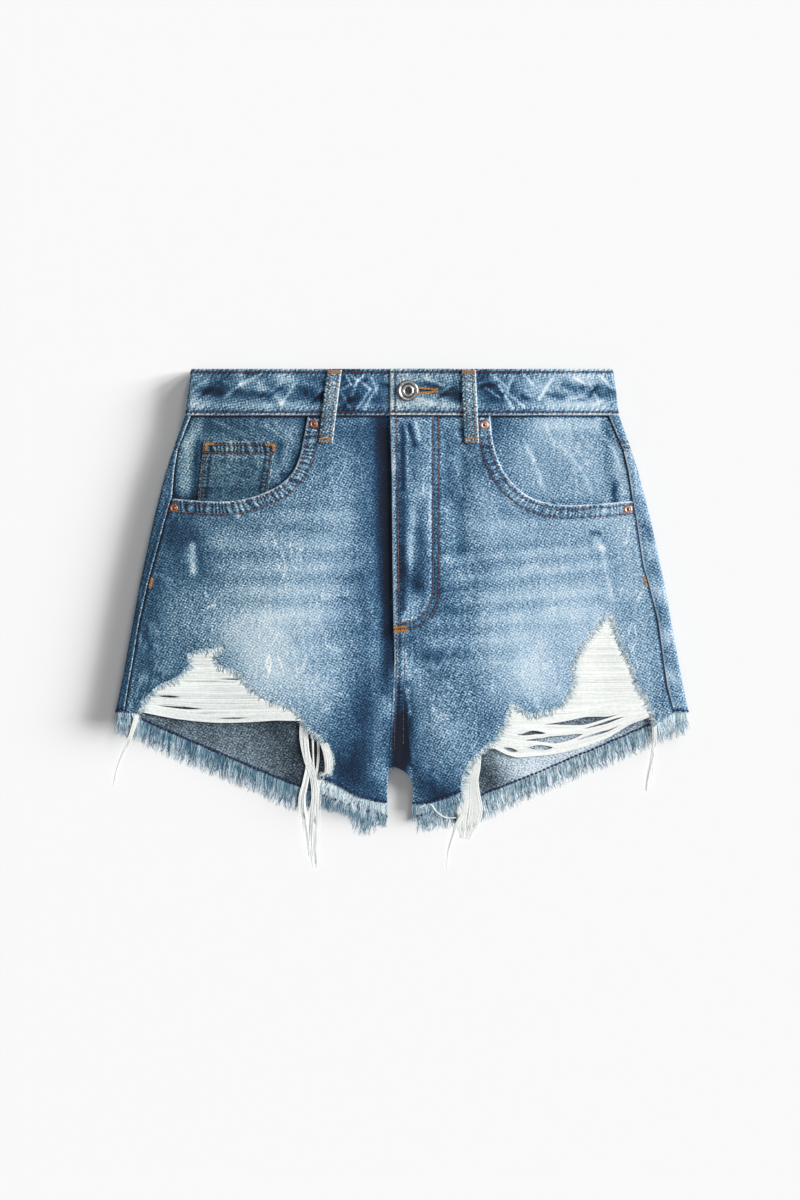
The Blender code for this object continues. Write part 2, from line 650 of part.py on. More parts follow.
def make_webs():
    for side in SIGN:
        first, last = WEB_RIP_ROWS[side]
        outline = list(RIP[side][first:last]) + list(WEB_HEM[side])
        xs = [x for x, _ in outline]

        def height(x, drop, low=min(xs), high=max(xs)):
            across = math.sin(math.pi * min(max((x - low) / (high - low), 0), 1))
            ribs = RIB_RISE * math.cos(math.pi * drop / RIB_PITCH)
            return front_height(x, drop) - WEB_DEPTH - WEB_SAG * across + ribs

        holes = []
        for x0, drop0, x1, drop1, rise, width in WEB_SLITS[side]:
            upper, lower = [], []
            for t in np.linspace(0, 1, 7):
                bow = math.sin(math.pi * t)
                x, drop = x0 + (x1 - x0) * t, drop0 + (drop1 - drop0) * t - rise * bow
                upper.append((x, drop - bow * width / 2))
                lower.append((x, drop + bow * width / 2))
            holes.append(upper + lower[-2:0:-1])
        drops = np.arange(196, 322, RIB_PITCH)
        ribs = [[(x, d) for x in np.arange(min(xs) - 3, max(xs), GRID)] for d in drops]
        cloth(f"thread_web_{side}", outline, lambda x, drop, h=height: spot(x, drop, h(x, drop)),
              "weft_thread", wall=WEB_WALL, holes=holes, creases=ribs)


# ---------------------------------------------------------------- waistband, loops, metal

def band_raise(x):
    """The left end of the band is lifted over its right end."""
    return BAND_LAP * ramp(x, BAND_LAP_REACH, BAND_UNDERLAP)


def make_waistband():
    radius = BAND_HEIGHT / 2
    middle = half_width(BAND_DROP / 2) - radius
    turn = math.pi * radius
    marks = np.cumsum([0, middle - BAND_LAP_END, turn, 2 * middle, turn, middle + BAND_UNDERLAP])

    def place(along, drop):
        stretch = (half_width(drop) - radius) / middle
        if along <= marks[1]:
            x = (BAND_LAP_END + along) * stretch
            return spot(x, drop, BAND_HEIGHT + band_raise(x))
        if along >= marks[4]:
            return spot((along - marks[4] - middle) * stretch, drop, BAND_HEIGHT)
        if marks[2] <= along <= marks[3]:
            x = (middle - (along - marks[2])) * stretch
            return spot(x, drop, back_lift(x, drop))
        right_fold = along < marks[2]
        angle = (along - (marks[1] if right_fold else marks[3])) / radius
        reach = middle * stretch + radius * math.sin(angle)
        height = radius * (1 + math.cos(angle)) if right_fold else radius * (1 - math.cos(angle))
        return spot(reach if right_fold else -reach, drop, height)

    def back_mark(x):
        return marks[2] + middle - x

    columns = [marks[0]] + [x - BAND_LAP_END for x in (16, BAND_UNDERLAP, 39, BAND_LAP_REACH, 90, 135)]
    columns += [marks[1] + turn * k / FOLD_STEPS for k in range(FOLD_STEPS + 1)]
    for _, x in reversed(BACK_LOOPS):
        half = LOOP_WIDTH / 2 + 1.0
        columns += [back_mark(x + s) for s in (half + LIFT_RAMP, half + LIFT_RAMP / 2, half)]
        columns += [back_mark(x - s) for s in (half, half + LIFT_RAMP / 2, half + LIFT_RAMP)]
    columns += [marks[3] + turn * k / FOLD_STEPS for k in range(FOLD_STEPS + 1)]
    columns += [marks[4] + middle + x for x in (-120, -70, -20)] + [marks[5]]
    outline = [(c, 0.0) for c in columns] + [(c, BAND_DROP) for c in reversed(columns)]
    creases = [[(c, 1.6), (c, BAND_DROP / 2), (c, BAND_DROP - 1.6)] for c in columns[1:-1]]

    x, drop = BUTTON_AT
    eye = [math.radians(a) for a in range(30, 331, 30)]
    keyhole = [(x - BAND_LAP_END + BUTTONHOLE_EYE * math.cos(a), drop + BUTTONHOLE_EYE * math.sin(a))
               for a in eye]
    keyhole += [(BUTTONHOLE_END - BAND_LAP_END, drop - BUTTONHOLE_SLIT),
                (BUTTONHOLE_END - BAND_LAP_END, drop + BUTTONHOLE_SLIT)]
    creases = [line for line in creases if not 1 < line[0][0] < BUTTONHOLE_END - BAND_LAP_END + 3]
    cloth("waistband", outline, place, "denim_band", wall=BAND_WALL,
          holes=[keyhole], creases=creases, grid=60)


def make_belt_loops():
    for side, x_top, x_end in FRONT_LOOPS:
        def place(x, drop):
            beneath = BAND_HEIGHT if drop < BAND_DROP + 2 else FLAT_HEIGHT
            return spot(x, drop, beneath + look_up(LOOP_ARCH, 1, drop) + LOOP_WALL)

        half = LOOP_WIDTH / 2
        rows = [(x_top + (x_end - x_top) * drop / LOOP_END, drop) for drop, _ in LOOP_ARCH[1:-1]]
        top_left, top_right, end_right, end_left = loop_outline(x_top, x_end)
        outline = [top_left, top_right] + [(x + half, drop) for x, drop in rows]
        outline += [end_right, end_left] + [(x - half, drop) for x, drop in reversed(rows)]
        creases = [[(x - half + 2, drop), (x + half - 2, drop)] for x, drop in rows]
        cloth(f"belt_loop_front_{side}", outline, place, "denim_band", wall=LOOP_WALL,
              creases=creases, grid=60)
    for place_name, x in BACK_LOOPS:
        cloth(f"belt_loop_back_{place_name}", loop_outline(x, x),
              lambda at, drop: spot(at, drop, 0.0), "denim_band", grid=60, flip=False)


def make_metal():
    seat = BAND_HEIGHT + BAND_LAP + GAP
    r = BUTTON_RADIUS
    profile = [(0.0, BAND_HEIGHT + GAP), (SHANK_RADIUS, BAND_HEIGHT + GAP), (SHANK_RADIUS, seat + 0.2),
               (0.86 * r, seat), (r, seat + 0.8), (0.97 * r, seat + 1.7), (0.86 * r, seat + 2.2),
               (0.74 * r, seat + 1.6), (0.56 * r, seat + 1.6), (0.48 * r, seat + 2.1),
               (0.36 * r, seat + 2.1), (0.28 * r, seat + 1.3), (0.0, seat + 1.2)]
    turned("button", profile, *BUTTON_AT, "silver_metal", 24)
    for name, x, drop in RIVETS:
        base = FLAT_HEIGHT + GAP
        profile = [(0.0, base), (RIVET_RADIUS, base), (RIVET_RADIUS, base + 0.35),
                   (0.7 * RIVET_RADIUS, base + 0.9), (0.45 * RIVET_RADIUS, base + 0.6),
                   (0.3 * RIVET_RADIUS, base + 1.1), (0.0, base + 1.2)]
        turned(f"rivet_{name}", profile, x, drop, "copper_metal", 12)


# ---------------------------------------------------------------- fray and loose threads

def extrude_to(bm, face, centre, taper):
    """Extrude one face to a new centre and taper it there."""
    new = bmesh.ops.extrude_discrete_faces(bm, faces=[face])["faces"][0]
    old_centre = new.calc_center_median()
    for vert in new.verts:
        vert.co = centre + (vert.co - old_centre) * taper
    return new


def backing_strip(bm, line, outward, heights):
    """A narrow bar along a line. Returns its outer faces, one between each pair of points."""
    rings = []
    for (x, drop), (nx, nd), z in zip(line, outward, heights):
        near, far = (x, drop), (x + nx * STRIP_WIDTH, drop + nd * STRIP_WIDTH)
        rings.append([bm.verts.new(spot(*p, h)) for p, h in
                      ((near, z), (far, z), (far, z + STRIP_WALL), (near, z + STRIP_WALL))])
    outer = []
    for a, b in zip(rings, rings[1:]):
        for k in range(4):
            face = bm.faces.new((a[k], a[(k + 1) % 4], b[(k + 1) % 4], b[k]))
            if k == 1:
                outer.append(face)
    bm.faces.new(rings[0][::-1])
    bm.faces.new(rings[-1])
    bmesh.ops.recalc_face_normals(bm, faces=bm.faces)
    return outer


def resampled(line, pitch, end):
    """Evenly spaced points along a line, stopping `end` short of both its ends."""
    pts = np.array(line)
    way = np.concatenate(([0.0], np.cumsum(np.linalg.norm(np.diff(pts, axis=0), axis=1))))
    count = max(2, round((way[-1] - 2 * end) / pitch))
    at = np.linspace(end, way[-1] - end, count + 1)
    return list(zip(np.interp(at, way, pts[:, 0]), np.interp(at, way, pts[:, 1])))


def fringe(name, seed, hem, layer, end=FRINGE_END, longest=LOCK_LENGTH):
    """Tapered locks along a hem, each as long and as bent as chance makes it."""
    chance = random.Random(seed)
    line = resampled(sorted(hem), LOCK_PITCH, end)
    line = shift(line, GAP * 1.5, closed=False)
    outward = [tuple(np.array(b) - np.array(a)) for a, b in zip(line, shift(line, 1.0, closed=False))]
    if layer == "back":
        heights = [STRIP_HEIGHT for _ in line]
    else:
        heights = [front_height(x, drop) - DENIM - GAP for x, drop in line]
    bm = bmesh.new()
    locks = backing_strip(bm, line, outward, heights)
    for k, face in enumerate(locks):
        length = longest * chance.uniform(*LOCK_SPREAD)
        lean = chance.uniform(-LOCK_LEAN, LOCK_LEAN)
        away = (Vector(outward[k]) + Vector(outward[k + 1])).normalized()
        side = Vector((-away.y, away.x))
        start = (Vector(line[k]) + Vector(line[k + 1])) / 2 + away * STRIP_WIDTH
        z = heights[k] + STRIP_WALL / 2
        for part, taper, droop in LOCK_JOINTS:
            at = start + away * (length - STRIP_WIDTH) * part + side * lean * part ** 2
            face = extrude_to(bm, face, spot(at.x, at.y, z + (LOCK_REST[layer] - z) * droop), taper)
    return object_from_bmesh(f"fringe_{name}", bm, "fray")


def rest_height(x, drop):
    """Top of what a loose thread lies on: the back panel, its fray or the floor."""
    past_hem = drop - look_up(BACK_HEM, 1, abs(x))
    if abs(x) > half_width(drop) or past_hem > LOCK_LENGTH + 4:
        return 0.0
    return DENIM + 0.25


def thread_bundle(name, strip_from, strip_to, knee, spread, tips):
    """Torn threads that hang from the end of a rip and lie on what is below them."""
    count = len(tips)
    line = [tuple(p) for p in np.linspace(strip_from, strip_to, count + 1)]
    outward = [(0.0, 1.0)] * (count + 1)
    heights = [BUNDLE_HEIGHT] * (count + 1)
    bm = bmesh.new()
    faces = backing_strip(bm, line, outward, heights)
    for k, (face, tip) in enumerate(zip(faces, tips)):
        root = (Vector(line[k]) + Vector(line[k + 1])) / 2 + Vector((0, STRIP_WIDTH))
        bend = Vector((knee[0] + (k - (count - 1) / 2) * spread, knee[1]))
        path = curve_through((tuple(root), tuple(bend), tip), 22)[1:]
        narrowing = min(1.0, STRAND / abs(line[1][0] - line[0][0]))
        for n, (x, drop) in enumerate(path):
            sink = ease((drop - root.y) / (knee[1] - root.y))
            above = rest_height(x, drop - LOCK_LENGTH / 4) + STRAND_CLEAR
            z = (BUNDLE_HEIGHT + STRIP_WALL / 2) * (1 - sink) + above * sink
            taper = narrowing if n == 0 else (0.5 if n == len(path) - 1 else 1.0)
            face = extrude_to(bm, face, spot(x, drop, z), taper)
    return object_from_bmesh(f"threads_{name}", bm, "weft_thread")


def make_fray():
    for seed, side in enumerate(SIGN):
        back = mirrored([row for row in BACK_HEM if row[0] <= HEM_FOLD_X + 2], side)
        inner = curve_through((RIP[side][-1],) + FRONT_HEM[side] + (INNER_LEG[side][-1],), 12)
        fold = (SIGN[side] * HEM_FOLD_X, SIDE_HEM)
        outer = [RIP[side][0], (seam_x(side, SIDE_HEM), SIDE_HEM), fold]
        fringe(f"back_{side}", 10 + seed, back, "back")
        fringe(f"front_inner_{side}", 20 + seed, inner, "front", end=RIP_CLEAR)
        fringe(f"front_side_{side}", 30 + seed, outer, "front", longest=CORNER_LOCK)
    for row in BUNDLES:
        thread_bundle(*row)


def main():
    for old in list(bpy.data.objects):
        bpy.data.objects.remove(old, do_unlink=True)
    make_backs()
    make_fronts()
    make_pockets()
    make_webs()
    make_waistband()
    make_belt_loops()
    make_metal()
    make_fray()


main()
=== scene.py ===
# Denim shorts laid flat: cloth, sewing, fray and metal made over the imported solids.
import math
import random

import bmesh
import bpy
import numpy as np
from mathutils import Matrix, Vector
from mathutils.geometry import delaunay_2d_cdt


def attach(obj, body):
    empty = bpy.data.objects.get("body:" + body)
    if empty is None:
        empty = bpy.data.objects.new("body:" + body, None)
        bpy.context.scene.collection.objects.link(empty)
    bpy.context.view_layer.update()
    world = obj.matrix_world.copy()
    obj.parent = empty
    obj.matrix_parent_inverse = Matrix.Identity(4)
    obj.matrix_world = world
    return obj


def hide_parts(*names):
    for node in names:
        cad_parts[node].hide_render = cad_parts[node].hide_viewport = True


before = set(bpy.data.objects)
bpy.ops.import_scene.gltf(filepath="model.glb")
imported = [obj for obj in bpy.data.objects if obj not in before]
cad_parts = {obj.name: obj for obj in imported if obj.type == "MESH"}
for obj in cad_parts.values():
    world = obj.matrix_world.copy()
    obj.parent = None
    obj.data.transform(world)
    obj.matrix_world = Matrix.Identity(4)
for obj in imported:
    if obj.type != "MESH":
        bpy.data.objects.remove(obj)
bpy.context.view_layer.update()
print("frame:", len(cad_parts), "nodes")

# Places on the garment are (x, drop) in millimetres, drop being the distance below the
# waist's edge. Right and left are the wearer's, so the right side is at -x.
cut = {
    "length": 439.0, "denim": 1.2, "gap": 0.3, "bandDeep": 37.5,
    "flatHeight": 6.0,  # floor to the top of the front panels
    "silhouette": (
        (0, 173.3), (38, 178.3), (60, 186), (83, 193.8), (123, 204), (177, 215.6), (247, 228.3), (281, 235.2),
        (380, 258)),
    "sideSeam": {  # how far in from the side fold
        "right": ((38, 5.3), (66, 4.2), (104, 10.7), (143, 9), (160, 7.8), (205, 5.7), (260, 6.6), (290, 7.8)),
        "left": ((38, 8.7), (66, 6.5), (104, 10.5), (143, 13.4), (160, 14.4), (205, 11), (260, 13.5), (290, 11.7))},
    "centreSeam": (
        (38, -9.8), (90, -8.5), (147, -8.1), (208, -7.1), (237, -6.4), (263, -7.5), (293, -9.2), (314, -10.3),
        (325, -10.7)),
    "crotch": ((-10.7, 325), (-4.8, 326.4), (1.9, 329.6), (7.4, 335)),
    "innerLeg": {
        "right": ((-10.7, 325), (-11.6, 340), (-12.4, 356)),
        "left": ((7.4, 335), (9, 343), (8.6, 357))},
    "mouth": {
        "right": (
            (-77.1, 37.5), (-80.4, 54.4), (-83.6, 70), (-90, 84.5), (-103, 96), (-125, 105), (-150, 108.1),
            (-189.6, 105.6)),
        "left": (
            (72.3, 37.5), (74.9, 59.4), (80.7, 77.8), (90.5, 92.8), (106, 104.8), (128, 110.6), (155, 110.3),
            (189.9, 107.5))},
    "rip": {
        "right": (
            (-215, 281.5), (-212.5, 272.6), (-205.8, 266), (-195.7, 258.4), (-182, 251.5), (-174.8, 244.1),
            (-174, 234), (-165.6, 230.7), (-153.9, 229.1), (-144.5, 224), (-147.3, 230.6), (-153.9, 236.5),
            (-151, 243.5), (-137.2, 247.5), (-123.8, 262.6), (-113.7, 269.3), (-90.4, 278.3), (-81.8, 286.5),
            (-75.3, 296), (-60.2, 307.8), (-56.8, 322.8), (-58.5, 331.2), (-67, 335.6)),
        "left": (
            (208, 291), (205.3, 282.7), (201.1, 270.9), (192.7, 259.2), (187, 240.6), (177, 220.7), (171.6, 201),
            (161.9, 207.3), (149.2, 224.1), (141, 238), (140.1, 259.2), (133.5, 273.5), (120.9, 280),
            (109.1, 283.2), (97.4, 280.8), (90.8, 274.2), (86.6, 279.1), (84.9, 289.3), (80.7, 299.4),
            (65.6, 312.8), (54, 324.5), (50.6, 332.8), (49.5, 346.8))},
    "frontHem": {
        "right": ((-55.2, 340), (-38.5, 349.6), (-25.1, 353.9)),
        "left": ((40, 351), (32.1, 353.7), (22.1, 356.6))},
    "frontHemLine": ((10, 357.5), (32, 352), (49, 345.5), (67, 336), (212, 286), (235, 280.5)),
    "backHem": (
        (12, 368), (50, 356), (83, 343), (104, 335), (144, 318), (174, 305.5), (214, 287.5), (235, 281.5),
        (250, 281)),
    "sideHem": 281.4, "hemFoldX": 233.0,
    "backCrotch": {
        "right": ((0, 325.5), (6, 326), (10.2, 330), (11.9, 345)),
        "left": ((0, 325.5), (4.5, 330), (8.2, 341))},
}
sign = {"right": -1, "left": 1}
seeds = {"ripEdge": 5, "frontHem": 15, "backHem": 25, "creases": 11, "weftWays": 40, "weftYarns": 50, "tornWays": 60,
         "tornYarns": 70, "frayBack": 80, "frayInner": 90, "fraySide": 100, "ripFuzz": 110}
mm = 0.001


# Plain helpers.

def ease(t):
    t = np.clip(t, 0.0, 1.0)
    return t * t * (3 - 2 * t)


def ramp(value, start, end):
    return ease((value - start) / (end - start))


def bell(off, width):
    return np.exp(-(off / width) ** 2)


def lookUp(rows, key):
    return np.interp(key, [row[0] for row in rows], [row[1] for row in rows])


def spots(x, drop, z):
    # Millimetres on the garment to points in the frame, in metres.
    return np.column_stack((x, cut["length"] / 2 - np.asarray(drop), z)) * mm


def curveThrough(points, step):
    # Catmull-Rom through the given points.
    pts = [np.array(p, float) for p in points]
    pts = [2 * pts[0] - pts[1]] + pts + [2 * pts[-1] - pts[-2]]
    out = []
    for a, b, c, d in zip(pts, pts[1:], pts[2:], pts[3:]):
        count = max(1, round(np.linalg.norm(c - b) / step))
        for k in range(count):
            t = k / count
            out.append(0.5 * (2 * b + (c - a) * t + (2 * a - 5 * b + 4 * c - d) * t ** 2
                              + (3 * b - a - 3 * c + d) * t ** 3))
    return np.array(out + [pts[-2]])


def resampled(line, step, closed=False, end=0.0):
    pts = np.array(line, float)
    if closed:
        pts = np.vstack((pts, pts[:1]))
    way = np.concatenate(([0.0], np.cumsum(np.linalg.norm(np.diff(pts, axis=0), axis=1))))
    count = max(2, round((way[-1] - 2 * end) / step))
    at = np.linspace(end, way[-1] - end, count + 1)
    out = np.column_stack([np.interp(at, way, pts[:, k]) for k in range(pts.shape[1])])
    return out[:-1] if closed else out


def normals(line, closed=False):
    # Unit normals to the left of a line.
    pts = np.array(line, float)
    before, after = np.roll(pts, 1, axis=0), np.roll(pts, -1, axis=0)
    if not closed:
        before[0], after[-1] = pts[0], pts[-1]
    way = after - before
    way /= np.maximum(np.linalg.norm(way, axis=1, keepdims=True), 1e-9)
    return np.column_stack((-way[:, 1], way[:, 0]))


def signedArea(loop):
    x, y = np.array(loop).T
    return 0.5 * float(np.sum(x * np.roll(y, -1) - np.roll(x, -1) * y))


def insideOf(x, y, loops):
    # Inside an odd number of loops, so holes are left out.
    odd = np.zeros(len(x), bool)
    for loop in loops:
        for (ax, ay), (bx, by) in zip(loop, np.roll(loop, -1, axis=0)):
            if ay != by:
                crossing = (ay > y) != (by > y)
                odd ^= crossing & (x < ax + (y - ay) * (bx - ax) / (by - ay))
    return odd


def nearest(x, y, line, closed=False):
    # Distance to a line and the way along it, for many points.
    pts = np.array(line, float)
    ends = np.roll(pts, -1, axis=0) if closed else pts[1:]
    starts = pts if closed else pts[:-1]
    best = np.full(len(x), 1e9)
    along = np.zeros(len(x))
    way = 0.0
    for a, b in zip(starts, ends):
        d = b - a
        length = max(float(np.hypot(*d)), 1e-9)
        t = np.clip(((x - a[0]) * d[0] + (y - a[1]) * d[1]) / length ** 2, 0, 1)
        away = np.hypot(x - a[0] - t * d[0], y - a[1] - t * d[1])
        closer = away < best
        best = np.where(closer, away, best)
        along = np.where(closer, way + t * length, along)
        way += length
    return best, along


def roughened(line, seed, size):
    # A torn edge: small random steps to either side, none at the ends.
    chance = np.random.default_rng(seed)
    pts = resampled(line, 1.5)
    fine, broad = chance.normal(0, size, len(pts)), chance.normal(0, size * 2.2, len(pts) + 4)
    steps = fine + np.convolve(broad, np.ones(5) / 5, "valid")
    steps[[0, -1]] = 0
    return pts + normals(pts) * steps[:, None]


# Form of the garment.

folds = (  # x, drop, x, drop, spread, rise
    (-17, 56, -16, 228, 7, -1.3), (43, 70, 55, 222, 8, -0.8), (33, 110, 42, 262, 6, 0.4),
    (-3, 268, -4, 330, 8, -2.5), (-22, 275, -23, 350, 5, -0.9), (16, 240, 19, 350, 5.5, -0.9),
    (-30, 296, -84, 238, 8, 0.4), (36, 292, 92, 240, 8, 0.4),
)
softCreases = (  # smaller ones, too fine for the solids
    (49, 50, 49, 150, 2.6, -0.45), (8, 60, 12, 200, 3.5, -0.3), (17, 75, 20, 190, 2.6, 0.3),
    (-30, 60, -38, 150, 6, 0.25), (-24, 130, -26, 240, 4, 0.22), (-60, 60, -48, 130, 5, 0.2),
    (60, 66, 72, 120, 4, 0.2), (-34, 240, -60, 300, 5, 0.3), (30, 262, 52, 300, 5, 0.3),
    (-40, 300, -34, 348, 5, 0.35), (34, 300, 30, 350, 5, 0.35), (-190, 130, -205, 240, 6, 0.25),
    (190, 130, 205, 240, 6, 0.25), (-20, 300, -70, 262, 3, -0.25), (26, 296, 78, 262, 3, -0.25),
)


def halfWidth(drop):
    return lookUp(cut["silhouette"], drop)


def seamX(side, drop):
    return sign[side] * (halfWidth(drop) - lookUp(cut["sideSeam"][side], drop))


def seamDrops(top, bottom):
    # Places where the outline or the side seam bends.
    rows = {row[0] for row in cut["silhouette"] + cut["sideSeam"]["right"] if top < row[0] < bottom}
    return [top] + sorted(rows) + [bottom]


def foldRise(rows, x, drop):
    # Soft ridges and hollows along straight lines, fading at their ends.
    total = 0.0
    for x0, drop0, x1, drop1, spread, rise in rows:
        dx, dd = x1 - x0, drop1 - drop0
        length = math.hypot(dx, dd)
        t = ((x - x0) * dx + (drop - drop0) * dd) / length
        off = (dx * (drop - drop0) - dd * (x - x0)) / length
        total += rise * ease(1 + t / 18.0) * ease(1 - (t - length) / 18.0) * np.exp(-0.5 * (off / spread) ** 2)
    return total


def innerLegDistance(x, drop):
    right, left = (lookUp([p[::-1] for p in cut["innerLeg"][side]], drop) for side in sign)
    return np.abs(x - np.where(x < -1.5, right, left))


def frontHeight(x, drop):
    # Upper face of the front without its seams: lower at the hem and at the inner leg, where little lies under it.
    height = cut["flatHeight"] + foldRise(folds, x, drop)
    fromSide = halfWidth(drop) - np.abs(x)
    aboveHem = lookUp(cut["frontHemLine"], np.abs(x)) - drop
    height -= 1.7 * ramp(aboveHem, 32.0, 0.0) * ramp(fromSide, 16.0, 46.0)
    lowest = 2 * cut["denim"] + cut["gap"]
    inner = ramp(innerLegDistance(x, drop), 9.0, 0.0) * ramp(drop, 312.0, 332.0)
    return np.maximum(height - (height - lowest) * inner, lowest)


def flyLap(x, drop):
    # The left panel is raised where it laps over the right one.
    return 1.8 * ramp(x, 44.0, 8.0) * ramp(drop, 248.0, 216.0)


pocketForm = {"outline": ((44, 107), (166, 90.5), (160, 196), (108, 224), (54, 208)), "rows": (1.8, 6.6), "hem": 7.0}
backLoops = {"right": -112.0, "centre": 0.0, "left": 112.0}
loopForm = {
    "width": 12.4, "end": 60.6, "wall": 1.4, "row": 3.1,  # stitch rows, off the middle
    "front": {"right": (-55.3, -62.9), "left": (54.4, 57.1)},  # x at the waist, x at the lower end
    "arch": ((0, 0.3), (5, 0.3), (12, 0.9), (20, 1.3), (31, 1), (41, 1), (51, 0.3), (62, 0.3)),
}


def mirrored(points, side):
    return [(sign[side] * x, drop) for x, drop in points]


def loopOutline(xTop, xEnd):
    half = loopForm["width"] / 2
    return [(xTop - half, 0.3), (xTop + half, 0.3), (xEnd + half, loopForm["end"]), (xEnd - half, loopForm["end"])]


underBack = [mirrored(pocketForm["outline"], side) for side in sign] + [loopOutline(x, x) for x in backLoops.values()]


def backLift(x, drop):
    # The back rises over its pockets and belt loops, which lie on the floor.
    lift = np.zeros(len(x))
    for loop in underBack:
        away = np.where(insideOf(x, drop, [np.array(loop)]), 0.0, nearest(x, drop, loop, True)[0])
        lift = np.maximum(lift, 1.5 * ramp(away, 8.0, 1.0))
    return lift


def roundFold(along, flat, radius, top, lift):
    # Flat cloth that turns round the side fold and lies back over itself.
    past = along - flat
    turn = np.clip(past / radius, 0, math.pi)
    x = np.where(past <= 0, along, np.where(past < math.pi * radius, flat + radius * np.sin(turn),
                                            flat - (past - math.pi * radius)))
    z = np.where(past <= 0, lift, np.where(past < math.pi * radius, radius * (1 - np.cos(turn)), top))
    return x, z


foldRadius = cut["flatHeight"] / 2


def unrolledSeam(side, drop):
    return halfWidth(drop) + (math.pi - 2) * foldRadius + lookUp(cut["sideSeam"][side], drop)


# Nodes and shading.

def socketOf(sockets, key):
    return sockets[key] if isinstance(key, int) else next(s for s in sockets if s.name == key and s.enabled)


def addNode(tree, kind, inputs=None, **settings):
    node = tree.nodes.new(kind)
    for key, value in settings.items():  # before the inputs, which may depend on them
        setattr(node, key, value)
    for key, value in (inputs or {}).items():
        socket = socketOf(node.inputs, key)
        if isinstance(value, bpy.types.NodeSocket):
            tree.links.new(value, socket)
        else:
            socket.default_value = value
    return node


def outOf(tree, kind, inputs=None, **settings):
    return addNode(tree, kind, inputs, **settings).outputs[0]


def calc(tree, operation, a, b=0.0, c=0.0):
    return outOf(tree, "ShaderNodeMath", {0: a, 1: b, 2: c}, operation=operation)


def plus(tree, a, b):
    return calc(tree, "ADD", a, b)


def minus(tree, a, b):
    return calc(tree, "SUBTRACT", a, b)


def times(tree, a, b, add=None):
    return calc(tree, "MULTIPLY", a, b) if add is None else calc(tree, "MULTIPLY_ADD", a, b, add)


def joined(tree, **parts):
    return outOf(tree, "ShaderNodeCombineXYZ", parts)


def vector(tree, operation, a, b=(0, 0, 0), scale=None):
    given = {0: a, 1: b} if scale is None else {0: a, 1: b, "Scale": scale}
    return outOf(tree, "ShaderNodeVectorMath", given, operation=operation)


def makeGroup(name, kind, inputs, outputs):
    # An input is given by the kind of its socket, or by its usual number.
    tree = bpy.data.node_groups.new(name, kind)
    for label, given in inputs.items():
        socket = given if isinstance(given, str) else "Int" if isinstance(given, int) else "Float"
        made = tree.interface.new_socket(label, in_out="INPUT", socket_type="NodeSocket" + socket)
        if socket != given:
            made.default_value = given
    for label, socket in outputs.items():
        tree.interface.new_socket(label, in_out="OUTPUT", socket_type="NodeSocket" + socket)
    return tree, tree.nodes.new("NodeGroupInput").outputs, tree.nodes.new("NodeGroupOutput").inputs


def link(tree, source, target):
    tree.links.new(source, target)


def fromScreen(*rgb):
    # 0-255 screen values to linear colour.
    return tuple(((c / 255 + 0.055) / 1.055) ** 2.4 if c > 10 else c / 255 / 12.92 for c in rgb)


def shades(*stops):
    return [(at, fromScreen(*rgb)) for at, *rgb in stops]


def colourRamp(tree, factor, stops):
    node = addNode(tree, "ShaderNodeValToRGB", {"Fac": factor})
    elements = node.color_ramp.elements
    while len(elements) < len(stops):
        elements.new(0.5)
    for element, (at, colour) in zip(elements, stops):
        element.position = at
        element.color = (*colour, 1.0)
    return node.outputs["Color"]


def noiseOn(tree, place, scale, stretch=(1, 1, 1), turn=0.0, detail=2.0, rough=0.5, bend=0.0):
    # Noise about zero on a place in millimetres.
    moved = outOf(tree, "ShaderNodeMapping", {"Vector": place, "Scale": stretch, "Rotation": (0, 0, turn)})
    made = outOf(tree, "ShaderNodeTexNoise", {"Vector": moved, "Scale": scale, "Detail": detail, "Roughness": rough,
                                              "Distortion": bend})
    return minus(tree, made, 0.5)


def makeTwillGroup():
    # Two sets of twill lines that drift a little, over yarns of uneven thickness.
    tree, given, out = makeGroup(
        "twill grain", "ShaderNodeTree", {"Place": "Vector", "Pitch": 2.15, "Lines": 0.1, "Slubs": 0.85},
        {"Grain": "Float", "Drift": "Float"})
    place = given["Place"]
    drift = noiseOn(tree, place, 0.15, detail=2.0)
    parts = addNode(tree, "ShaderNodeSeparateXYZ", {"Vector": place}).outputs
    step = calc(tree, "DIVIDE", 2 * math.pi, given["Pitch"])

    def lines(alongX, alongY, shift):
        way = times(tree, parts["X"], alongX, times(tree, parts["Y"], alongY))
        return calc(tree, "SINE", times(tree, drift, shift, times(tree, way, step)))

    twill = times(tree, plus(tree, lines(0.45, 0.89, 5.0), lines(0.89, -0.45, -4.0)), given["Lines"])
    slubs = plus(tree, noiseOn(tree, place, 1.25, (1.0, 0.6, 1.0), 0.5, detail=1.0),
                 noiseOn(tree, place, 1.0, (0.55, 1.0, 1.0), detail=0.0))
    link(tree, times(tree, slubs, given["Slubs"], twill), out["Grain"])
    link(tree, drift, out["Drift"])
    return tree


twillGroup = makeTwillGroup()


denimShades = shades((0.0, 8, 20, 38), (0.17, 18, 53, 85), (0.36, 55, 96, 128), (0.57, 113, 149, 177),
                     (0.78, 174, 200, 220), (1.0, 236, 243, 247))
reverseShades = shades((0.0, 22, 32, 42), (0.3, 68, 82, 92), (0.55, 122, 139, 152), (0.8, 179, 196, 209),
                       (1.0, 222, 232, 240))
ageing = {"X": 0.04, "Y": -0.035, "Z": -0.125}  # old cloth turns a little from blue towards grey


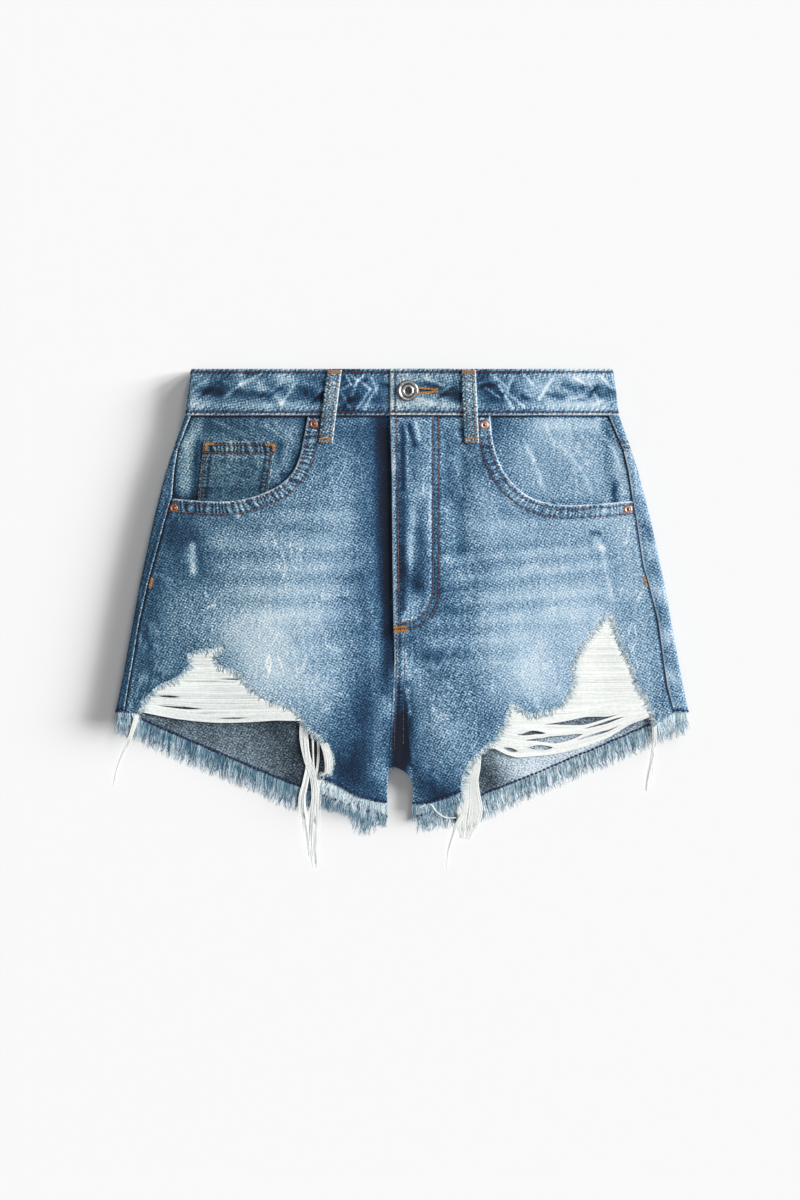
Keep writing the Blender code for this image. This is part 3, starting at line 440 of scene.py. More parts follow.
def makeDenimGroup():
    tree, given, out = makeGroup(
        "denim weave", "ShaderNodeTree",
        {"Place": "Vector", "Tone": 0.5, "Rope": "Vector", "Aged": 0.0, "Grain": 1.0, "Mottle": 0.1, "Streak": 0.05,
         "Veins": 0.1, "Vein Scale": 0.03},
        {"Colour": "Color", "Roughness": "Float", "Height": "Float"})
    place = given["Place"]  # in millimetres
    twill = addNode(tree, "ShaderNodeGroup", node_tree=twillGroup)
    link(tree, place, twill.inputs["Place"])
    grain, drift = twill.outputs["Grain"], twill.outputs["Drift"]
    # worn and dark places lose their contrast
    off = calc(tree, "ABSOLUTE", minus(tree, given["Tone"], 0.47))
    grain = times(tree, grain, calc(tree, "MAXIMUM", times(tree, off, -1.6, 1.0), 0.35))
    rain = noiseOn(tree, place, 0.45, (1.0, 0.07, 1.0))  # long vertical slubs
    clouds = noiseOn(tree, place, 0.06, (1.0, 0.7, 1.0), 0.5, detail=4.0, rough=0.6)
    tone = times(tree, grain, given["Grain"], given["Tone"])
    tone = times(tree, rain, given["Streak"], tone)
    tone = times(tree, clouds, given["Mottle"], tone)

    # pale crooked lines where the cloth was creased in the wash
    crooked = calc(tree, "ABSOLUTE", noiseOn(tree, place, given["Vein Scale"], (1.0, 0.34, 1.0), 0.2, 3.0, 0.6, 0.6))
    crooked = minus(tree, 1.0, times(tree, crooked, 34.0))
    here = calc(tree, "MAXIMUM", times(tree, noiseOn(tree, place, 0.045), 5.0), 0.0)
    crooked = times(tree, calc(tree, "MAXIMUM", crooked, 0.0), here)
    tone = times(tree, calc(tree, "MINIMUM", crooked, 1.0), given["Veins"], tone)

    # puckers beside a seam: along, away, strength
    rope = addNode(tree, "ShaderNodeSeparateXYZ", {"Vector": given["Rope"]}).outputs
    slanted = times(tree, rope["Y"], 0.12, rope["X"])
    slanted = times(tree, drift, 4.0, slanted)
    pucker = calc(tree, "SINE", times(tree, slanted, 1.55))
    uneven = times(tree, noiseOn(tree, place, 0.28), 2.4, 1.0)
    pucker = times(tree, times(tree, pucker, rope["Z"]), calc(tree, "MAXIMUM", uneven, 0.1))
    tone = times(tree, pucker, 0.2, tone)

    colour = colourRamp(tree, tone, denimShades)
    tint = joined(tree, **{axis: times(tree, given["Aged"], change, 1.0) for axis, change in ageing.items()})
    link(tree, vector(tree, "MULTIPLY", colour, tint), out["Colour"])
    link(tree, times(tree, grain, 0.2, 0.82), out["Roughness"])
    link(tree, times(tree, pucker, 1.2, times(tree, grain, 1.1)), out["Height"])
    return tree


denimGroup = makeDenimGroup()


def newMaterial(name, **fixed):
    made = bpy.data.materials.new(name)
    made.use_nodes = True
    shader = made.node_tree.nodes["Principled BSDF"]
    for key, value in fixed.items():  # the same all over the surface
        shader.inputs[key.replace("_", " ")].default_value = value
    return made, made.node_tree, shader


def painted(tree, shader, colour, roughness, strength, distance, height):
    relief = outOf(tree, "ShaderNodeBump", {"Strength": strength, "Distance": distance, "Height": height})
    for key, value in {"Base Color": colour, "Roughness": roughness, "Normal": relief}.items():
        link(tree, value, shader.inputs[key])


def carried(tree, name, output="Fac"):
    # A value that the mesh carries.
    return addNode(tree, "ShaderNodeAttribute", attribute_name=name).outputs[output]


def millimetres(tree, turn=0.0):
    coords = addNode(tree, "ShaderNodeTexCoord").outputs["Object"]
    return outOf(tree, "ShaderNodeMapping", {"Vector": coords, "Scale": (1000, 1000, 1000), "Rotation": (0, 0, turn)})


def makeDenim(name, grain, mottle, streak, veins, veinScale=0.03, turn=0.0):
    made, tree, shader = newMaterial(name, Specular_IOR_Level=0.25, Sheen_Weight=0.12, Sheen_Roughness=0.5)
    given = {"Place": millimetres(tree, turn), "Tone": carried(tree, "tone"), "Rope": carried(tree, "rope", "Vector"),
             "Aged": carried(tree, "aged"), "Grain": grain, "Mottle": mottle, "Streak": streak, "Veins": veins,
             "Vein Scale": veinScale}
    weave = addNode(tree, "ShaderNodeGroup", given, node_tree=denimGroup).outputs
    painted(tree, shader, weave["Colour"], weave["Roughness"], 0.45, 0.0004, weave["Height"])
    return made


def makeReverse(name):
    # The wrong side of denim: pale weft with specks of indigo.
    made, tree, shader = newMaterial(name, Specular_IOR_Level=0.2)
    place = millimetres(tree)
    twill = addNode(tree, "ShaderNodeGroup", {"Place": place, "Lines": 0.06, "Slubs": 0.7}, node_tree=twillGroup)
    specks = twill.outputs["Grain"]
    clouds = noiseOn(tree, place, 0.06, detail=3.0)
    tone = plus(tree, times(tree, clouds, 0.3, specks), carried(tree, "lining"))
    painted(tree, shader, colourRamp(tree, tone, reverseShades), times(tree, specks, 0.2, 0.82), 0.35, 0.0003, specks)
    return made


def makeYarn(name, dark, light, scale, middle=None):
    # Thread: each strand has its own shade, with plies along it.
    made, tree, shader = newMaterial(name, Specular_IOR_Level=0.25, Sheen_Weight=0.1)
    plies = outOf(tree, "ShaderNodeTexNoise", {"Vector": millimetres(tree), "Scale": scale, "Detail": 2.0})
    tone = times(tree, minus(tree, plies, 0.5), 0.9, carried(tree, "shade"))
    stops = shades((0.0, *dark), *([(0.5, *middle)] if middle else []), (1.0, *light))
    painted(tree, shader, colourRamp(tree, tone, stops), times(tree, plies, 0.2, 0.75), 0.3, 0.0002, plies)
    return made


def makeMetal(name, clean, tarnish, roughness):
    made, tree, shader = newMaterial(name, Metallic=1.0)
    wear = outOf(tree, "ShaderNodeTexNoise", {"Vector": millimetres(tree), "Scale": 0.7, "Detail": 4.0})
    colour = colourRamp(tree, wear, ((0.36, tarnish), (0.56, clean)))
    fine = outOf(tree, "ShaderNodeTexNoise", {"Vector": millimetres(tree), "Scale": 3.0, "Detail": 2.0})
    painted(tree, shader, colour, times(tree, wear, 0.35, roughness - 0.15), 0.12, 0.0002, fine)
    return made


finish = {
    "panel": makeDenim("washed denim panels", grain=1.0, mottle=0.2, streak=0.12, veins=0.27, veinScale=0.034),
    "band": makeDenim("crushed denim waistband", grain=0.85, mottle=0.5, streak=0.05, veins=0.2, veinScale=0.055,
                      turn=0.9),
    "loop": makeDenim("denim belt loops", grain=1.1, mottle=0.12, streak=0.12, veins=0.0),
    "back": makeDenim("denim backs and facings", grain=0.95, mottle=0.3, streak=0.22, veins=0.16, veinScale=0.04),
    "reverse": makeReverse("wrong side of the denim"),
    "rust": makeYarn("rust topstitch thread", (62, 46, 54), (152, 114, 98), 0.35),
    "plum": makeYarn("faded topstitch thread", (40, 34, 48), (112, 90, 96), 0.35),
    "maroon": makeYarn("dark topstitch thread", (38, 26, 42), (126, 80, 74), 0.5),
    "amber": makeYarn("amber bar tack thread", (158, 96, 48), (226, 168, 98), 0.6),
    "navy": makeYarn("navy stay stitch thread", (12, 24, 52), (44, 68, 112), 0.6),
    "weft": makeYarn("bare weft yarn", (202, 208, 207), (245, 247, 244), 0.5),
    "fray": makeYarn("frayed warp ends", (46, 90, 116), (238, 246, 249), 0.2, middle=(134, 170, 186)),
    "steel": makeMetal("worn silver button", (0.84, 0.83, 0.81), (0.42, 0.41, 0.40), 0.3),
    "copper": makeMetal("copper rivets", (0.90, 0.52, 0.40), (0.62, 0.25, 0.17), 0.42),
    "darkerCopper": makeMetal("darker copper rivets", (0.54, 0.22, 0.14), (0.24, 0.08, 0.05), 0.45),
    # dark rings on the metal: partly tarnish, partly painted dark reflection
    "tarnishAndReflection": makeMetal("button tarnish and painted dark reflection", (0.10, 0.10, 0.11), (0.03, 0.03, 0.035), 0.5),
}
print("finishes:", len(finish))


# Cloth.

def giveTrait(mesh, trait, values):
    values = np.asarray(values, np.float32)
    wide = values.ndim == 2
    data = mesh.attributes.new(trait, "FLOAT_VECTOR" if wide else "FLOAT", "POINT").data
    data.foreach_set("vector" if wide else "value", values.ravel())


def newObject(name, mesh):
    made = bpy.data.objects.new(name, mesh)
    bpy.context.scene.collection.objects.link(made)
    return made


panels = {}
clothForm = {
    "letOut": 0.15, "edgeStep": 2.0,  # how far outside its line a piece is cut, and how often its edge has a point
    "clear": 0.42, "apart": 0.55,  # rows of points keep this far from the edges and from each other
    "reverse": 0.45,  # tone of a wrong side that nothing else shades
    "wall": 1.2, "rows": (0.5, 1.3, 2.4),  # rows of points along the edges, for their rolled shape
}


def cutCloth(node, outline, lay, look, material, wall=clothForm["wall"], age=1.0, holes=(), spacing=2.6,
             rows=clothForm["rows"], extra=(), flip=True, inner=None, grey=lambda laid: 0.0):
    # Cut, triangulate, lay by `lay` and thicken inwards. `look` gives tone, rope and sometimes the wrong side's
    # tone for each point, `age` and `grey` how far the colour turns.
    loops = []
    for k, loop in enumerate([outline, *holes]):
        loop = np.array(loop, float)
        loop = loop if signedArea(loop) > 0 else loop[::-1]
        loop += normals(loop, True) * (clothForm["letOut"] if k == 0 else -clothForm["letOut"])
        loops.append(resampled(loop, clothForm["edgeStep"], closed=True))
    more = [np.array(p, float) for p in extra]
    for k, loop in enumerate(loops):
        for row in rows:
            more.append(loop + normals(loop, True) * (row if k == 0 else -row))
    low, high = loops[0].min(0), loops[0].max(0)
    y = np.arange(low[1] + spacing / 2, high[1], spacing * 0.87)
    grid = [(across, at) for k, at in enumerate(y)
            for across in np.arange(low[0] + spacing * (0.25 + 0.5 * (k % 2)), high[0], spacing)]
    kept = []
    for points, least in ((np.vstack(more), clothForm["clear"]), (np.array(grid), rows[-1] + 0.45 * spacing)):
        points = points[insideOf(*points.T, loops)]
        away = np.min([nearest(*points.T, loop, True)[0] for loop in loops], axis=0)
        kept.append(points[away > least])
    _, first = np.unique(np.round(kept[0] / clothForm["apart"]), axis=0, return_index=True)
    kept[0] = kept[0][first]
    points = np.vstack(loops + kept)
    edges, regions, start = [], [], 0
    for loop in loops:
        ids = list(range(start, start + len(loop)))
        edges += list(zip(ids, ids[1:] + ids[:1]))
        regions.append(ids)
        start += len(loop)
    flat, _, triangles, _, _, found = delaunay_2d_cdt([Vector(p) for p in points], edges, regions, 0, 1e-5)
    triangles = np.array([t for t, where in zip(triangles, found) if list(where) == [0]])
    used, index = np.unique(triangles, return_inverse=True)
    faces = index.reshape(-1, 3)
    x, drop = np.array([tuple(flat[k]) for k in used]).T
    first, *more = node.split("_")
    name = first + ("".join(word.capitalize() for word in more) or "Strip")
    mesh = bpy.data.meshes.new(name)
    laid = lay(x, drop)
    mesh.from_pydata(laid, [], faces[:, ::-1] if flip else faces)
    tone, rope, *lining = look(x, drop)
    lining = lining[0] if lining else np.full(len(x), clothForm["reverse"])
    aged = age * (0.1 + 0.9 * ramp(-laid[:, 0], 0.03, 0.15)) + grey(laid)
    for trait, values in {"lining": lining, "aged": aged, "tone": tone, "rope": rope}.items():
        giveTrait(mesh, trait, values)
    mesh.shade_smooth()
    mesh.materials.append(material)
    made = newObject(name, mesh)
    thicken = made.modifiers.new("wall", "SOLIDIFY")
    thicken.thickness = wall * mm
    thicken.offset = -1.0
    if inner:
        mesh.materials.append(inner)
        thicken.material_offset = 1
    made["cutArea"] = abs(signedArea(outline)) * mm * mm
    made["cutSize"] = [float(side) for side in np.ptp(np.array(outline), axis=0) * mm]
    panels[node] = made


def laidOn(height, *first):
    # Lays a piece at the height that a function gives for each place.
    return lambda x, drop: spots(x, drop, height(*first, x, drop))


def washTone(x, drop, base, rows):
    # Each row: x, drop to x, drop, spread, change of tone.
    tone = np.full(len(x), float(base))
    for x0, drop0, x1, drop1, spread, change in rows:
        dx, dd = x1 - x0, drop1 - drop0
        t = np.clip(((x - x0) * dx + (drop - drop0) * dd) / max(dx * dx + dd * dd, 1e-9), 0, 1)
        away = np.hypot(x - x0 - t * dx, drop - drop0 - t * dd)
        tone += change * np.exp(-0.5 * (away / spread) ** 2)
    return tone


def uneven(along):
    return along + 1.9 * np.sin(along / 6.1) + 1.2 * np.sin(along / 2.7 + 1.3)


def seamLook(away, along, tone, rope, width, rows, wear=0.4, strength=1.0):
    # White wear on the edge, darker stitch lines, puckers in the folded allowance between.
    tone += wear * bell(away, 1.1) * (0.75 + 0.35 * np.sin(along / 3.7) * np.sin(along / 9.1))
    for row in rows:
        tone -= 0.3 * bell(away - row, 0.9)
    within = ramp(away, width + 1.2, width - 1.0) * ramp(away, 0.4, 1.6)
    rope = np.where((within > rope[:, 2])[:, None], np.column_stack((uneven(along), away, within * strength)), rope)
    return tone, rope


def seamRise(away, along, width, rows, rise=0.35):
    # The folded allowance stands up a little, stitch lines sink in, and the edge rolls down.
    z = rise * ramp(away, width + 1.0, width - 0.4)
    for row in rows:
        z -= 0.22 * bell(away - row, 0.75)
    z += 0.15 * np.sin(1.55 * (uneven(along) + 0.12 * away)) * ramp(away, width + 0.5, width - 2.0)
    return z - 0.5 * ramp(away, 1.1, 0.0)


panelForm = {
    "mouthHem": 11.2, "mouthRows": (3.3, 10.4),  # folded allowance at a pocket mouth, stitch rows in it
    "flyHem": 8.0, "flyRow": 5.0, "flyEnd": 216, "underFly": 8,  # drop of its end, x of the right panel's edge under it
    # tone: lighter on the left, partly the wash and partly painted light, as that side faces the lamps
    "tone": {"right": 0.47, "left": 0.53}, "pucker": {"right": 1.0, "left": 0.6},
    "wash": {  # faded and dark places, among them painted shadow beside the fly and painted shade in folds at the crotch, then whiskers
        "right": (
            (-129, 222, -55, 189, 27.9, 0.26), (-92, 156, -70, 150, 20, 0.08), (-57, 86, -52, 112, 12, 0.04),
            (-40, 135, -38, 200, 13, -0.14), (-48, 150, -46, 195, 16, -0.08), (-110, 240, -60, 246, 15, 0.1),
            # the first two rows here are painted shadow beside the fly's lap
            (-7, 70, -7, 240, 3.6, -0.2), (-13, 50, -12.5, 250, 2.6, -0.12), (-200, 262, -165, 246, 14, -0.1),
            (-62, 318, -44, 322, 13, -0.12), (-10, 292, -9, 318, 5, -0.2), (-125, 263, -84, 271, 14.8, 0.1),
            (-207, 123, -223, 263, 18, -0.14), (-186, 132, -166, 222, 16.4, -0.1),
            # the row at x -16 is painted shadow beside the fly's lap
            (-182, 119, -174, 156, 9.8, -0.08), (-16, 41, -13, 263, 4.9, -0.36), (-28, 50, -25, 271, 11.5, -0.14),
            (-34, 287, -26, 353, 21.3, -0.22), (-50, 330, -24, 344, 9, -0.13), (-75, 45, -22, 58, 13.1, -0.05),
            (-145, 113, -30, 112, 2.6, -0.07), (-153, 127, -59, 132, 2.6, -0.07), (-157, 151, -30, 153, 2.8, -0.07),
            (-153, 173, -30, 171, 2.8, -0.07), (-141, 191, -34, 189, 3, -0.07), (-84, 222, -30, 212, 3.4, -0.06),
            (-75, 242, -34, 234, 3.4, -0.05), (-92, 120, -40, 118, 2.8, 0.06), (-157, 142, -40, 144, 2.8, 0.06),
            (-133, 162, -40, 162, 2.8, 0.06), (-133, 182, -40, 180, 2.8, 0.06), (-125, 203, -40, 199, 3, 0.06),
            (-55, 112, -40, 150, 11, 0.16), (-18, 196, -20, 330, 5, 0.12), (-36, 126, -30, 150, 9, 0.05),
            (-98, 165, -70, 185, 10, -0.06), (-192, 104, -190, 138, 7, -0.12), (-200, 240, -145, 250, 14, -0.12),
            (-38, 290, -30, 312, 8, -0.08), (-172, 145, -171, 166, 2.2, 0.5), (-100, 250, -72, 258, 8, 0.08),
            (-168, 112, -138, 118, 7, -0.16), (-168, 140, -164, 165, 8, -0.13), (-206, 165, -208, 222, 7, -0.12),
            (-194, 237, -180, 240, 8, 0.11), (-176, 190, -172, 206, 9, 0.07), (-60, 140, -56, 150, 8, 0.07),
            (-74, 284, -62, 266, 8, 0.08), (-52, 270, -40, 296, 7, 0.1), (-58, 42, -50, 52, 5, -0.12),
            (-64, 60, -60, 108, 6, -0.09), (-14, 272, -16, 345, 6, 0.08), (-22, 336, -40, 350, 10, 0.07),
            (-27, 290, -24, 300, 8, -0.07), (-13, 226, -12.5, 266, 5, 0.15), (-8, 278, -7, 306, 4, 0.1)),
        "left": (
            (80, 222, 142, 222, 32.8, 0.16), (56, 123, 162, 136, 21.3, 0.08), (113, 189, 154, 181, 21.3, 0.06),
            (105, 255, 121, 263, 18, 0.1), (49, 50, 49, 148, 4.1, -0.22), (39, 91, 39, 189, 9.8, -0.06),
            (8, 50, 13, 205, 8.2, -0.16), (7, 136, 8, 168, 2, 0.2), (18, 82, 21, 189, 2.5, 0.1),
            (18, 120, 22, 206, 9, -0.17), (44, 190, 52, 236, 12, -0.18), (36, 284, 48, 300, 13, 0.17),
            (1, 110, 1, 210, 2.6, -0.12), (2, 290, 2, 316, 4.5, -0.22), (72, 288, 128, 282, 8, -0.1),
            (70, 62, 78, 98, 5, -0.12), (186, 130, 200, 260, 10, 0.08), (110, 166, 142, 166, 14, 0.05),
            (152, 196, 120, 202, 10, 0.06), (23, 271, 31, 345, 19.7, -0.18), (23, 349, 39, 353, 9.8, -0.14),
            # the first row here is painted shade where the panel folds down at the crotch
            (2, 263, 2, 320, 5.7, -0.35), (203, 123, 220, 271, 8.2, -0.14), (207, 140, 218, 263, 4.1, -0.1),
            (60, 263, 64, 271, 11.5, -0.08), (56, 58, 64, 82, 6.6, -0.1), (31, 149, 171, 140, 2.6, -0.07),
            (31, 163, 175, 152, 2.6, -0.07), (31, 181, 171, 166, 2.8, -0.07), (27, 199, 162, 189, 2.8, -0.07),
            (23, 215, 154, 209, 3, -0.06), (23, 234, 97, 230, 3.4, -0.06), (56, 129, 162, 125, 2.8, 0.06),
            (39, 155, 162, 147, 2.8, 0.06), (39, 172, 162, 161, 2.8, 0.06), (39, 189, 162, 181, 2.8, 0.06),
            (31, 207, 97, 203, 3, 0.06), (23, 224, 80, 222, 3, 0.06), (15, 244, 80, 240, 3, 0.06),
            (-3, 62, -2, 208, 3, -0.1), (-3.4, 44, -3.6, 80, 1.5, 0.16), (0.4, 46, 1, 98, 2, -0.34),
            (0.6, 104, 1, 140, 1.8, -0.16), (0.6, 146, 1, 196, 2, -0.3), (45, 52, 54, 70, 1.3, 0.24),
            (48, 56, 56, 110, 3, -0.08), (5, 164, 12, 178, 4, -0.2), (9.4, 112, 9, 128, 1.8, 0.2),
            (8, 132, 4, 164, 2.6, 0.12), (22.8, 98, 23, 150, 1.6, 0.2), (12, 46, 9, 84, 3, 0.12),
            (36, 52, 40, 104, 4, -0.12), (45, 44, 47, 84, 3, 0.12), (159, 140, 164, 146, 1.6, 0.2),
            (164, 146, 172, 188, 1.5, 0.16), (155, 134, 162, 134.5, 1.4, -0.3), (8, 120, 12, 150, 4, 0.1),
            (32, 44, 33, 100, 6, -0.14), (52, 112, 78, 118, 6, -0.12), (82, 117, 150, 117, 4.5, -0.08),
            # the middle row here is painted shade in a fold below the fly
            (11, 96, 12, 122, 4, 0.14), (2, 224, 28, 240, 8, -0.26), (184, 200, 190, 258, 6, -0.08),
            (-4, 292, -4, 330, 3, -0.14), (4, 330, 34, 348, 8, -0.12), (36, 310, 62, 306, 8, -0.08),
            (47, 60, 54, 150, 4, 0.07), (4.5, 262, 6.4, 281, 0.9, 0.3), (6.4, 281, 4.4, 290, 0.9, 0.26),
            (4.4, 290, 9.5, 322, 1.1, 0.16), (214, 226, 224, 268, 6, 0.14), (56, 138, 64, 160, 9, -0.08),
            (118, 122, 134, 124, 9, -0.06), (14, 190, 22, 206, 7, 0.13), (18, 142, 22, 146, 7, -0.08),
            (66, 48, 66, 84, 6, -0.07), (44, 42, 43, 66, 3.5, -0.1), (32, 46, 33, 96, 3.5, 0.12),
            (70, 112, 74, 118, 6, 0.12), (1, 172, 2, 268, 3, 0.1), (24, 262, 34, 264, 8, 0.06),
            (97, 220, 113, 266, 10, 0.06), (142, 196, 180, 228, 9, 0.05), (35, 302, 37, 314, 9, 0.13),
            (46, 274, 58, 300, 11, -0.1), (172, 115, 186, 116, 8, 0.1), (11.5, 228, 12, 268, 4, 0.08),
            (1.6, 44, 6, 58, 0.8, 0.32), (6, 46, 11, 62, 1.5, -0.34), (11, 42, 14.5, 58, 0.9, 0.28),
            (10, 62, 9, 84, 2, -0.16), (4, 62, 5, 96, 0.9, 0.2))},
}
mouthLine = {side: curveThrough(cut["mouth"][side], 3.0) for side in sign}
ripLine = {side: roughened(cut["rip"][side], seeds["ripEdge"] + k, 0.42) for k, side in enumerate(sign)}


def frontHemPoints(side):
    return (cut["rip"][side][-1],) + cut["frontHem"][side] + (cut["innerLeg"][side][-1],)


frontHemCurve = {side: roughened(curveThrough(frontHemPoints(side), 6), seeds["frontHem"] + k, 0.16)
                 for k, side in enumerate(sign)}
flyEdge = np.array([(x, drop) for drop, x in cut["centreSeam"]])


def flyX(drop):
    return lookUp(cut["centreSeam"], drop)


flyStitches = {  # rows of topstitching on the fly and the crotch seam
    "edge": np.array([(flyX(d) + panelForm["flyRow"], d) for d in np.linspace(38, panelForm["flyEnd"], 30)]),
    "outer": curveThrough(((30, 38.5), (30.2, 110), (30.2, 176), (29.4, 188), (26.2, 198), (19.6, 206.8), (10.6, 211.6),
                           (-5.5, 213.2)), 3),
    "inner": curveThrough(((25.4, 38.5), (25.4, 110), (25.5, 174), (24.8, 185), (21.8, 194.4), (16, 202), (8.4, 206.4),
                           (-1, 208)), 3),
    "crotchEdge": np.array([(-4.2, 218), (-4.3, 240), (-5.0, 263), (-6.0, 292), (-6.4, 310)]),
    "crotchInner": np.array([(2.5, 218), (2.4, 240), (1.4, 263), (1.0, 292), (1.0, 306)]),
}


def frontSurface(side, x, drop):
    # Upper face of a front panel with its seams and small creases.
    z = frontHeight(x, drop) + foldRise(softCreases, x, drop)
    z -= 0.45 * ramp(nearest(x, drop, ripLine[side])[0], 2.6, 0.0)
    away, along = nearest(x, drop, mouthLine[side])
    z += seamRise(away, along, panelForm["mouthHem"], panelForm["mouthRows"])
    if side == "left":
        z += flyLap(x, drop)
        away, along = nearest(x, drop, flyEdge)
        z += seamRise(away, along, panelForm["flyHem"], (panelForm["flyRow"],), 0.45)
        outer, inner = (nearest(x, drop, flyStitches[row])[0] for row in ("outer", "inner"))
        z = z - 0.25 * bell(outer, 1.0) + 0.3 * ramp(x, 31, 27) * ramp(drop, 216, 200)
        z -= 0.2 * bell(inner, 1.0)
    else:
        away = np.abs(x - flyX(drop))
        z -= 0.35 * bell(away, 6.0) * ramp(drop, 340, 300)
    return z


def paintedShadowUnderBand(drop):
    # Painted shadow: a dark line on the cloth just below the waistband, where the band shades it.
    return -0.56 * bell(drop - 38.1, 1.0)


def frontLook(side, x, drop):
    # the washes, with the painted shadow below the waistband
    tone = washTone(x, drop, panelForm["tone"][side], panelForm["wash"][side]) + paintedShadowUnderBand(drop)
    rope = np.zeros((len(x), 3))
    away, along = nearest(x, drop, mouthLine[side])
    tone, rope = seamLook(away, along, tone, rope, panelForm["mouthHem"], panelForm["mouthRows"], 0.5,
                         panelForm["pucker"][side])
    if side == "left":
        away, along = nearest(x, drop, flyEdge)
        tone, rope = seamLook(away, along, tone, rope, panelForm["flyHem"], (panelForm["flyRow"],), 0.34, 0.3)
        # painted shade where the panel folds down at the crotch
        tone -= 0.36 * ramp(away, 17.0, 11.0) * ramp(drop, 268, 304) * ramp(drop, 345, 325)
        tone += 0.08 * ramp(away, 4.5, 2.0)
        outer, inner = (nearest(x, drop, flyStitches[row]) for row in ("outer", "inner"))
        for away, along in (outer, inner):
            tone -= 0.24 * bell(away, 0.9)
            rope = np.where((away < 4)[:, None] & (rope[:, 2:] < 0.2),
                            np.column_stack((along, away, 0.3 * ramp(away, 4, 1))), rope)
        tone -= 0.08 * bell(outer[0] + inner[0] - 4.8, 1.6)
        # a painted highlight: a pale line just inside the inner J row
        tone += 0.2 * bell(inner[0] - 2.0, 0.9) * (outer[0] > inner[0] + 3.0)
    tone += 0.28 * bell(nearest(x, drop, ripLine[side])[0], 1.1)
    hem = nearest(x, drop, frontHemCurve[side])[0]
    tone = tone + 0.25 * bell(hem, 0.7) - 0.16 * bell(hem - 2.0, 1.0)
    away = np.abs(x - seamX(side, drop))
    tone = tone - 0.42 * bell(away, 1.4) + 0.1 * bell(away - 3.4, 1.2)
    tone += 0.22 * bell(innerLegDistance(x, drop), 1.0) * (drop > 326)
    return tone, rope


def frontOutline(side):
    mouth = curveThrough(cut["mouth"][side], 4)
    mouth[-1] = (seamX(side, mouth[-1][1]), mouth[-1][1])
    seam = [(seamX(side, d), d) for d in seamDrops(mouth[-1][1], cut["sideHem"])[1:]]
    hem = frontHemCurve[side][1:-1]
    leg = curveThrough(cut["innerLeg"][side], 5)[::-1]
    centre = [(x, d) for d, x in cut["centreSeam"][-2:0:-1]]
    if side == "right":  # runs on under the fly
        end, under = panelForm["flyEnd"], panelForm["underFly"]
        centre = [p for p in centre if p[1] > end] + [(flyX(end), end), (under, 207)]
        centre += [(under, d) for d in np.linspace(190, cut["bandDeep"], 8)]
    else:
        centre = [*cut["crotch"][-2::-1], *centre, (flyX(cut["bandDeep"]), cut["bandDeep"])]
    return np.array([*mouth, *seam, *ripLine[side], *hem, *leg, *centre])


for side in sign:
    cutCloth("front_panel_" + side, frontOutline(side), laidOn(frontSurface, side),
             lambda *at, side=side: frontLook(side, *at), finish["panel"], inner=finish["reverse"], spacing=1.65)
print("front panels cut")

backForm = {
    "yoke": (103, 66, 190),  # drop at the centre, drop at the side, where it levels out
    # tone: lighter on the left, partly the wash and partly painted light, as that side faces the lamps
    "tone": {"right": 0.34, "left": 0.46}, "rows": (2, 7.2), "hem": 8.0,
    "wash": (
        (60, 150, 110, 190, 40, 0.22), (30, 290, 90, 320, 24, -0.06), (0, 110, 0, 330, 8, -0.08),
        (205, 70, 232, 270, 12, -0.04), (110, 60, 190, 66, 14, 0.05)),
    # lining: base, then shades; the darkening rows, and the right's darker base, are painted shadow under the webs,
    # beside the torn yarns and under the front leg's edge
    "inside": {"right": (0.41, (
        (60, 300, 88, 335, 11, -0.24), (70, 292, 190, 288, 6, -0.1), (104, 296, 90, 312, 9, -0.2))),
               "left": (0.85, (
                   (60, 316, 72, 340, 11, -0.62), (150, 308, 176, 298, 5, 0.1), (100, 300, 190, 275, 7, -0.4),
                   (166, 298, 206, 286, 7, -0.36)))},
    # side: painted light and shade on the side folds, lighter on the left that faces the lamps, darker on the right
    "side": {"right": -0.05, "left": 0.2},
    "patches": (
        (213, 130, 214, 136, 4, -0.2), (222, 160, 223, 166, 3.6, -0.2), (229, 196, 230, 204, 4, -0.14),
        (235, 232, 237, 240, 3.8, -0.15), (242, 262, 243, 268, 3.6, -0.14), (199, 70, 205, 98, 5, 0.22),
        (225, 180, 226, 184, 3, 0.12), (233, 216, 234, 220, 3, 0.12), (241, 250, 241, 254, 3, 0.14)),
}
backStitches = {}


def yokeDrop(along):
    centre, side, reach = backForm["yoke"]
    return centre - (centre - side) * np.minimum(np.asarray(along) / reach, 1.0)


def backHem(along):
    return lookUp(cut["backHem"], along)


def backTone(side, along):
    # Both sides are alike at the centre back.
    middle = sum(backForm["tone"].values()) / 2
    return middle + (backForm["tone"][side] - middle) * ramp(np.abs(along), 20, 200)


def backPlace(side, rise=0.0):
    # Unrolled, a back piece runs from the centre back (0) round the side fold to the side seam.
    def place(along, drop):
        along, drop = np.asarray(along, float), np.asarray(drop, float)
        flat = halfWidth(drop) - foldRadius
        x, _ = roundFold(along, flat, foldRadius, 0, np.zeros(len(along)))
        lift = backLift(sign[side] * x, drop)
        x, z = roundFold(along, flat, foldRadius, cut["flatHeight"], lift)
        seamAway = unrolledSeam(side, drop) - along
        wrapped = (along - flat) / (math.pi * foldRadius)
        z += ramp(wrapped, 0.8, 1.0) * (0.12 * np.sin(drop / 6.0) - 0.45 * ramp(seamAway, 1.2, 0.0))
        z += rise * np.where(wrapped > 0.5, 1, -1)
        return spots(sign[side] * x, drop, z)
    return place


def acrossFold(dropAt, side):
    # An edge of a back piece, from the centre over the fold to the seam.
    foldDrop = float(dropAt(cut["hemFoldX"]))
    seam = float(unrolledSeam(side, foldDrop))
    return [(s, float(dropAt(s))) for s in np.append(np.arange(0, seam - 1.5, 3.0), seam)]


